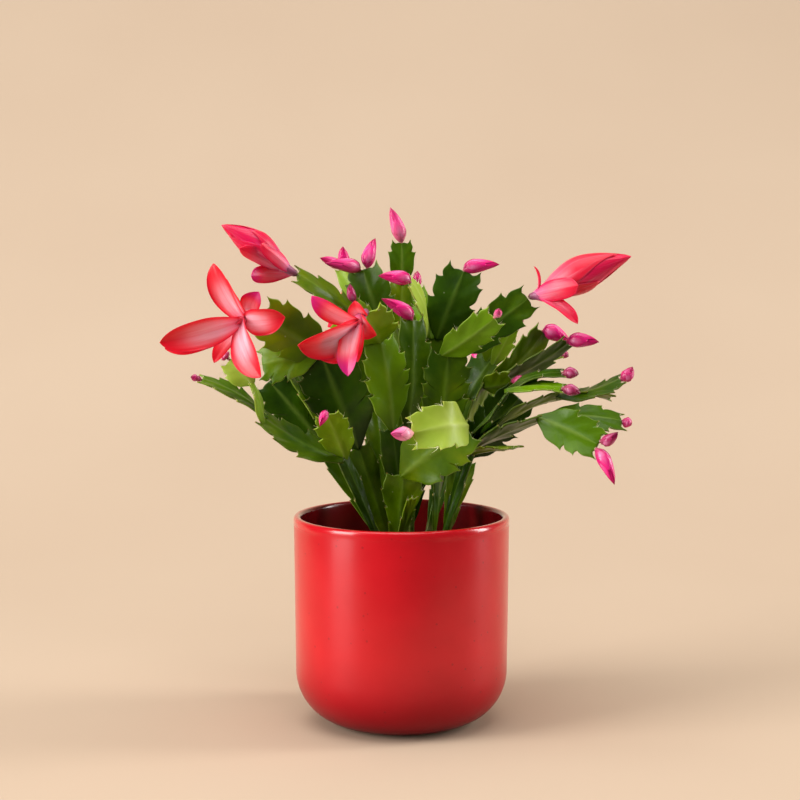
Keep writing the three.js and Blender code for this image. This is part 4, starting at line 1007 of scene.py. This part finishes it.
def spindle(foot, lean, tip, rings, swell):
    """A round body along a bent line, whose radius runs smoothly through its rings, times swell.
    Also gives each point's share of the length."""
    a = np.concatenate([[0.3 * rings[0][0]], np.linspace(rings[0][0], 0.99, BODY_ROWS)])
    radius = np.maximum(radius_at(rings, a), 0.05) * swell
    a, angle = np.broadcast_arrays(a[:, None], round_angles(BODY_SIDES)[None])
    points, _ = around_line(foot, lean, tip, a, angle, radius[:, None] + 0 * angle)
    points, triangles = closed_rings(points, foot, tip)
    return points, facing_out(points, triangles), np.r_[a.reshape(-1), 0, 1]


def shell(foot, lean, tip, rings, start, end, turn, half, layer, lift):
    """A tepal that hugs the spindle: across it the angle is turn + q half leaf(p), where p is the
    share of its length and leaf(p) = (1 - p^2.6)^0.6 (0.6 + 0.4 sin(pi p)), and it lies a layer
    over the body, its tip standing off by lift p^3."""
    p = np.linspace(0, 1, SHELL_ROWS)[:, None] ** 0.9
    q = np.sin(np.pi / 2 * np.linspace(-1, 1, SHELL_COLUMNS))[None]
    leaf = np.maximum(1 - p ** 2.6, 0) ** 0.6 * (0.6 + 0.4 * np.sin(np.pi * p))
    a = start + (end - start) * (p - 0.06 * q * q * (1 - p))
    radius = np.maximum(radius_at(rings, a), 0.06)
    radius = radius + layer * LAYER * np.minimum(1, radius / 2.5) + lift * p ** 3 * (1 - 0.4 * q * q)
    angle = np.radians(turn) + q * np.radians(half) * np.maximum(leaf, 0.03)
    middle, way = around_line(foot, lean, tip, a, angle, radius)
    thick = SHELL_HALF * np.sqrt(1 - q ** 6) * np.minimum(1, radius / 1.2)
    return sheet(middle, way * thick[..., None], up=a, edge=np.abs(q), streak=q + turn, share=p)


def veins_group():
    """Veins: noise at the point (5 Streak, Stretch Share), so that it is fine across a tepal and
    long along it. Puts out its height."""
    group, net, given = new_group("veins", ["Streak", "Share", "Stretch"], "Height")
    across, along = net.times(given["Streak"], 5.0), net.times(given["Share"], given["Stretch"])
    at = net.add("ShaderNodeCombineXYZ", {0: across, 1: along}).outputs[0]
    net.add("NodeGroupOutput", {"Height": net.cloud(1.0, 2, at)})
    return group


VEINS = veins_group()


def bud_petal():
    """Bud tissue: green-brown at the ovary, magenta above, with a painted highlight along the middle
    of each tepal, and darker on its edge and tip; dusky red or pale salmon by shade; glossy."""
    finish, net, shader = new_finish("bud_pink")
    up, edge, shade, share, streak = net.fields("up", "edge", "shade", "share", "streak")
    plain = net.ramp(up, (0.0, "#6f7a35"), (0.08, "#8e4a48"), (0.17, "#ac1058"), (0.42, "#dc1272"),
                     (0.72, "#ec1a80"), (0.9, "#cc1064"), (1.0, "#9a0840"))
    dusky = net.ramp(up, (0.0, "#5f6a2c"), (0.12, "#8a3f46"), (0.4, "#a8245a"), (0.8, "#981e4e"),
                     (1.0, "#6a1236"))
    pale = net.ramp(up, (0.0, "#c7b878"), (0.12, "#f8a8a0"), (0.5, "#fba8b8"), (0.8, "#f66ea6"),
                    (1.0, "#e03c88"))
    look = net.blend(net.step(shade, 0.05, 0.5), dusky, plain)
    look = net.blend(net.step(shade, 0.5, 1.0), look, pale)
    veins = net.group(VEINS, {"Streak": streak, "Share": share, "Stretch": 1.6})
    look = net.blend(net.step(veins, 0.5, 0.72, 0.0, 0.45), look, "#a00a48")
    # Painted highlight: pale pink along the middle of each tepal, patchy, fading towards its tip.
    painted_highlight = net.times(net.step(edge, 0.0, 0.75, 0.7, 0.0), net.step(share, 0.95, 0.35))
    look = net.blend(net.times(painted_highlight, net.cloud(420, 3)), look, "#ffa6d6")
    feed(shader, {
        "Base Color": net.blend(net.times(net.step(edge, 0.84, 1.0), 0.7), look, "#8c0c40"),
        "Roughness": 0.25,
        "Specular IOR Level": 0.34,
        "Subsurface Weight": 0.15,
        "Subsurface Radius": (1.0, 0.35, 0.5),
        "Subsurface Scale": 0.001,
        "Normal": net.bump(net.cloud(700, 3), 0.12),
    })
    return finish


bud_finish = bud_petal()
for bud_name, (_, tip, width, shade) in BUDS.items():
    foot, lean = seats[bud_name]
    tip = np.array(tip, float)
    length, neck = np.linalg.norm(tip - foot), min(BUD_NECK, 0.2 * width)
    swell = SMALL_RINGS if width < SMALL_BUD else BUD_RINGS
    rings = [(0.9 / length, neck), (2.4 / length, neck)] + [(a, r * width / 2) for a, r in swell]
    points, triangles, up = spindle(foot - lean * ROOT_SINK, lean, tip, rings, 0.96)
    parts = [(points, triangles, {"up": up, "edge": 0.6, "share": up})]
    parts += [shell(foot, lean, tip, rings, *sizes) for sizes in BUD_SHELLS]
    points, triangles, fields = joined(parts)
    fields["shade"] = np.full(len(points), shade)
    bud = new_piece(bud_name + "_tepals", points, triangles, bud_finish, fields)
    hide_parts(bud_name)


# The blooms
# Each grows from a blade's end on a short ovary and a bent mauve tube that is made of the fused
# feet of its tepals. The open ones spread and curl back, thin and soft, white-pink along the middle
# and coral red towards the edges and the tips; those still closed wrap round one another.
TUBE_RADIUS = 3.6
HEART_ARCH = 0.08
HEART_FROM = 0.75
HEART_USE = 3
HALF_CLOSED = 0.65
TUBE_RINGS = [(0.3, 0.62), (0.55, 0.75), (0.76, 0.95), (0.85, 0.85), (0.9, 0.3), (0.94, 0.14)]
HEART_RINGS = [(0.03, 0.36), (0.2, 0.75), (0.42, 1), (0.66, 0.75), (0.86, 0.35), (0.95, 0.15)]
TEPAL_HALF = 0.3
TEPAL_CUP = 0.16
TEPAL_CURL = 1.2
TEPAL_GROOVE = 0.35
TEPAL_FURROW = 0.09
TEPAL_EDGE_WAVE = 0.035
TEPAL_WAVE = 0.02
TEPAL_SWAY = 0.03
TEPAL_SINK = 0.12
TEPAL_PHASE = 2.4
TEPAL_ROWS = 34
TEPAL_COLUMNS = 25

# The shells of a heart, as those of a bud, how salmon (1) or crimson (0) each heart is, and which
# open tepals have magenta tips
HEART_SHELLS = [
    (0.02, 1.0, 60, 80, 0.0, 0.0),
    (0.02, 1.0, 180, 80, 1.0, 0.0),
    (0.02, 0.99, 300, 78, 2.0, 0.1),
    (0.02, 0.86, 120, 62, 3.2, 0.5),
    (0.02, 0.78, 235, 56, 4.2, 0.6),
    (0.0, 0.6, 20, 52, 5.0, 0.6),
]
HEART_TONES = {"bloom_upper_left": 0.45, "bloom_right": 1.0, "bloom_back": 0.7}
MAGENTA_TIPS = [("bloom_left", 4), ("bloom_centre", 2), ("bloom_centre", 5),
                ("bloom_upper_left", 0)]


def tepal(foot, tip, axis, width, bow, turn, phase):
    """An open tepal. Its half width is (0.35 + 0.65 sin(pi/2 min(1, 2a))) (1 - a^8)^0.8 of the
    whole. Its inner face looks along the bloom's axis, or is turned from it, and rises by
    bow 4a(1 - a), a cup of q^2, a groove along the middle, faint furrows cos(8 pi q), and waves of
    the edge, q^3 sin(9a + phase), and of the whole, sin(5a + 2 phase); its tip curls back by a^6."""
    along = unit(tip - foot)
    face = face_turned(square(axis, along), along, turn)
    side, length = np.cross(along, face), np.linalg.norm(tip - foot)
    a = np.sin(np.pi / 2 * np.linspace(0, 1, TEPAL_ROWS))[:, None] ** 1.1
    q = np.sin(np.pi / 2 * np.linspace(-1, 1, TEPAL_COLUMNS))[None]
    grown = 0.35 + 0.65 * np.sin(np.pi / 2 * np.minimum(1, 2 * a))
    share = np.maximum(grown * np.maximum(1 - a ** 8, 0) ** 0.8, 0.02)
    rise = (bow * 4 * a * (1 - a) + TEPAL_CUP * width * share * q * q - TEPAL_CURL * a ** 6
            - TEPAL_GROOVE * np.exp(-(q * 4) ** 2) * share
            + TEPAL_FURROW * np.cos(8 * np.pi * q) * share
            + TEPAL_EDGE_WAVE * width * share * q ** 3 * np.sin(9 * a + phase)
            + TEPAL_WAVE * width * np.sin(5 * a + 2 * phase) * (1 - q * q) * a)
    sway = TEPAL_SWAY * width * np.sin(4 * a + phase) * a
    middle = (foot + along * (a * length + 0 * q)[..., None]
              + side * (q * share * width / 2 + sway)[..., None] + face * rise[..., None])
    thick = (TEPAL_HALF * np.sqrt(1 - q ** 6) * (1.1 - 0.5 * a))[..., None]
    return sheet(middle, face * thick, up=a, edge=np.abs(q), streak=q, share=a)


def tepal_tissue():
    """Petal tissue: coral red, white-pink along the middle of the lower half, fine streaks along its
    length from the fields, magenta on some tips; a mauve tube; a soft satin sheen."""
    finish, net, shader = new_finish("tepal_red")
    up, edge, streak, share, tube, magenta, tone, closed = net.fields(
        "up", "edge", "streak", "share", "tube", "magenta", "tone", "closed")
    veins = net.group(VEINS, {"Streak": streak, "Share": share, "Stretch": 1.3})
    red = net.ramp(share, (0.0, "#f5405c"), (0.35, "#f01430"), (0.75, "#ea0c26"), (1.0, "#dc0a24"))
    soft = net.ramp(share, (0.0, "#ff94b4"), (0.25, "#ffc4d2"), (0.5, "#ffaab6"), (0.76, "#fa6470"),
                    (1.0, "#ea1c30"))
    middle = net.times(net.step(edge, 0.94, 0.36), net.step(share, 0.98, 0.6))
    middle = net.times(middle, net.step(veins, 0.35, 0.62, 0.7, 1.0))
    rimmed = net.times(net.step(edge, 0.9, 1.0), 0.7)
    spread = net.blend(rimmed, net.blend(middle, red, soft), "#b40824")
    crimson = net.ramp(share, (0.0, "#ffb0d0"), (0.12, "#f8408c"), (0.45, "#f60c58"), (1.0, "#e00840"))
    salmon = net.ramp(share, (0.0, "#ffc4d0"), (0.16, "#ff6a80"), (0.5, "#f6203a"), (1.0, "#e01030"))
    wrap = net.blend(tone, crimson, salmon)
    wrap = net.blend(net.times(net.step(veins, 0.5, 0.8), 0.35), wrap, "#f8a0b4")
    wrap = net.blend(net.times(net.step(edge, 0.86, 1.0), 0.45), wrap, "#b01036")
    look = net.blend(closed, spread, wrap)
    look = net.blend(net.times(magenta, net.step(share, 0.6, 0.95)), look, "#c81a74")
    mauve = net.ramp(up, (0.0, "#5d5a34"), (0.12, "#6d3f48"), (0.5, "#a3587c"), (0.78, "#cc6288"),
                     (0.86, "#ea5a6c"), (1.0, "#e0405a"))
    feed(shader, {
        "Base Color": net.blend(tube, look, mauve),
        "Roughness": 0.36,
        "Specular IOR Level": 0.32,
        "Subsurface Weight": 0.45,
        "Subsurface Radius": (1.0, 0.4, 0.4),
        "Subsurface Scale": 0.002,
        "Normal": net.bump(veins, 0.12),
    })
    return finish


bloom_finish = tepal_tissue()
for bloom_name, (_, mouth, heart, tepals) in BLOOMS.items():
    foot, lean = seats[bloom_name]
    mouth = np.array(mouth, float)
    length = np.linalg.norm(mouth - foot)
    rings = [(0.8 / length, BUD_NECK), (2.4 / length, 1.6 * BUD_NECK)]
    rings += [(a, r * TUBE_RADIUS) for a, r in TUBE_RINGS]
    points, triangles, up = spindle(foot, lean, mouth, rings, 1.0)
    parts = [(points, triangles, {"up": up, "tube": 1.0})]
    if heart:
        start, _ = bent_line(foot, lean, mouth, HEART_FROM)
        tip = np.array(heart[0], float)
        swell = [(a, r * heart[1] / 2) for a, r in HEART_RINGS]
        arched = (tip - start) / 2 + [0, 0, HEART_ARCH * np.linalg.norm(tip - start)]
        points, triangles, up = spindle(start, arched / KNEE, tip, swell, 0.94)
        parts.append((points, triangles, {"up": up, "share": up, "closed": 1.0}))
        for k, sizes in enumerate(HEART_SHELLS):
            parts.append(shell(start, arched / KNEE, tip, swell, *sizes))
            parts[-1][2].update(closed=1.0, tone=wobble(k, HEART_USE) * HEART_TONES[bloom_name])
    for number, (share, tip, width, bow, turn) in enumerate(tepals):
        start, along = bent_line(foot, lean, mouth, share - TEPAL_SINK)
        phase = TEPAL_PHASE * number
        parts.append(tepal(start, np.array(tip, float), along, width, bow, turn, phase))
        parts[-1][2].update(magenta=(bloom_name, number) in MAGENTA_TIPS, tone=0.0,
                            closed=HALF_CLOSED if heart else 0.0)
    points, triangles, fields = joined(parts)
    bloom = new_piece(bloom_name + "_tepals", points, triangles, bloom_finish, fields)
    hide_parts(bloom_name)


# The studio
# A seamless sweep of warm beige paper, that widens and rises in a curve behind the pot, a tall soft
# light at the left, a weaker one at the right, which both reach below the paper, a soft light from
# above, and the camera.
SWEEP_NEAR = -0.36
SWEEP_FAR = 0.25
SWEEP_CURVE = 1.5
SWEEP_HEIGHT = 2.2
SWEEP_HALF_WIDTH = 0.36
SWEEP_FLARE = 1.3
CAMERA_PLACE = (-0.0009, -1.086, 0.3)
CAMERA_PITCH = 5.5
CAMERA_LENS = 81.8
AIM = (0.0, 0.0, 0.14)


def sweep():
    """The paper: a flat run, a quarter circle and an upright run, carried straight across. Half
    its width is a fixed one, and SWEEP_FLARE times the way y behind the pot's axis is added."""
    curve = arc((SWEEP_FAR, SWEEP_CURVE), SWEEP_CURVE, -90, 0, 24)
    line = np.vstack([[(SWEEP_NEAR, 0)], curve, [(SWEEP_FAR + SWEEP_CURVE, SWEEP_HEIGHT)]])
    half = SWEEP_HALF_WIDTH + SWEEP_FLARE * np.maximum(line[:, :1], 0)
    points = np.stack([np.hstack([side * half, line]) for side in (-1, 1)], 1)
    index = np.arange(2 * len(line)).reshape(-1, 2)
    paper, net, shader = new_finish("paper")
    shade = net.ramp(net.cloud(3, 2), (0.2, "#bca690"), (0.8, "#c0ab95"))
    feed(shader, {"Base Color": shade, "Roughness": 0.95, "Specular IOR Level": 0.1})
    smooth_mesh("sweep", points.reshape(-1, 3), weave(index), paper)


def soft_light(name, place, size, power, colour):
    """A rectangular area light of a size in metres and a power in watts that faces the plant."""
    light = bpy.data.lights.new(name, "AREA")
    light.shape, (light.size, light.size_y) = "RECTANGLE", size
    light.energy, light.color = power, colour
    lamp = placed(name, light)
    lamp.location = place
    away = unit(np.array(place) - AIM)
    lamp.rotation_euler = (np.arccos(away[2]), 0, np.arctan2(away[1], away[0]) + np.pi / 2)


def camera():
    """The camera of the picture: a long lens at the height of the plant, looking a little down."""
    lens = bpy.data.cameras.new("camera")
    lens.lens = CAMERA_LENS
    eye = placed("camera", lens)
    eye.location = CAMERA_PLACE
    eye.rotation_euler = (np.radians(90 - CAMERA_PITCH), 0, 0)
    bpy.context.scene.camera = eye


sweep()
soft_light("key_left", (-2.1, -1.0, 0.7), (1.1, 2.0), 82, (1.0, 0.98, 0.95))
soft_light("side_right", (1.9, 0.1, 0.7), (0.5, 1.7), 36, (1.0, 0.98, 0.95))
soft_light("top", (-0.2, -0.4, 2.1), (2.4, 2.0), 52, (1.0, 0.99, 0.97))
world = bpy.data.worlds.new("room")
world.use_nodes = True
feed(world.node_tree.nodes["Background"], {"Color": (1.0, 0.98, 0.95, 1.0), "Strength": 0.12})
bpy.context.scene.world = world
bpy.context.scene.view_settings.view_transform = "Standard"
camera()
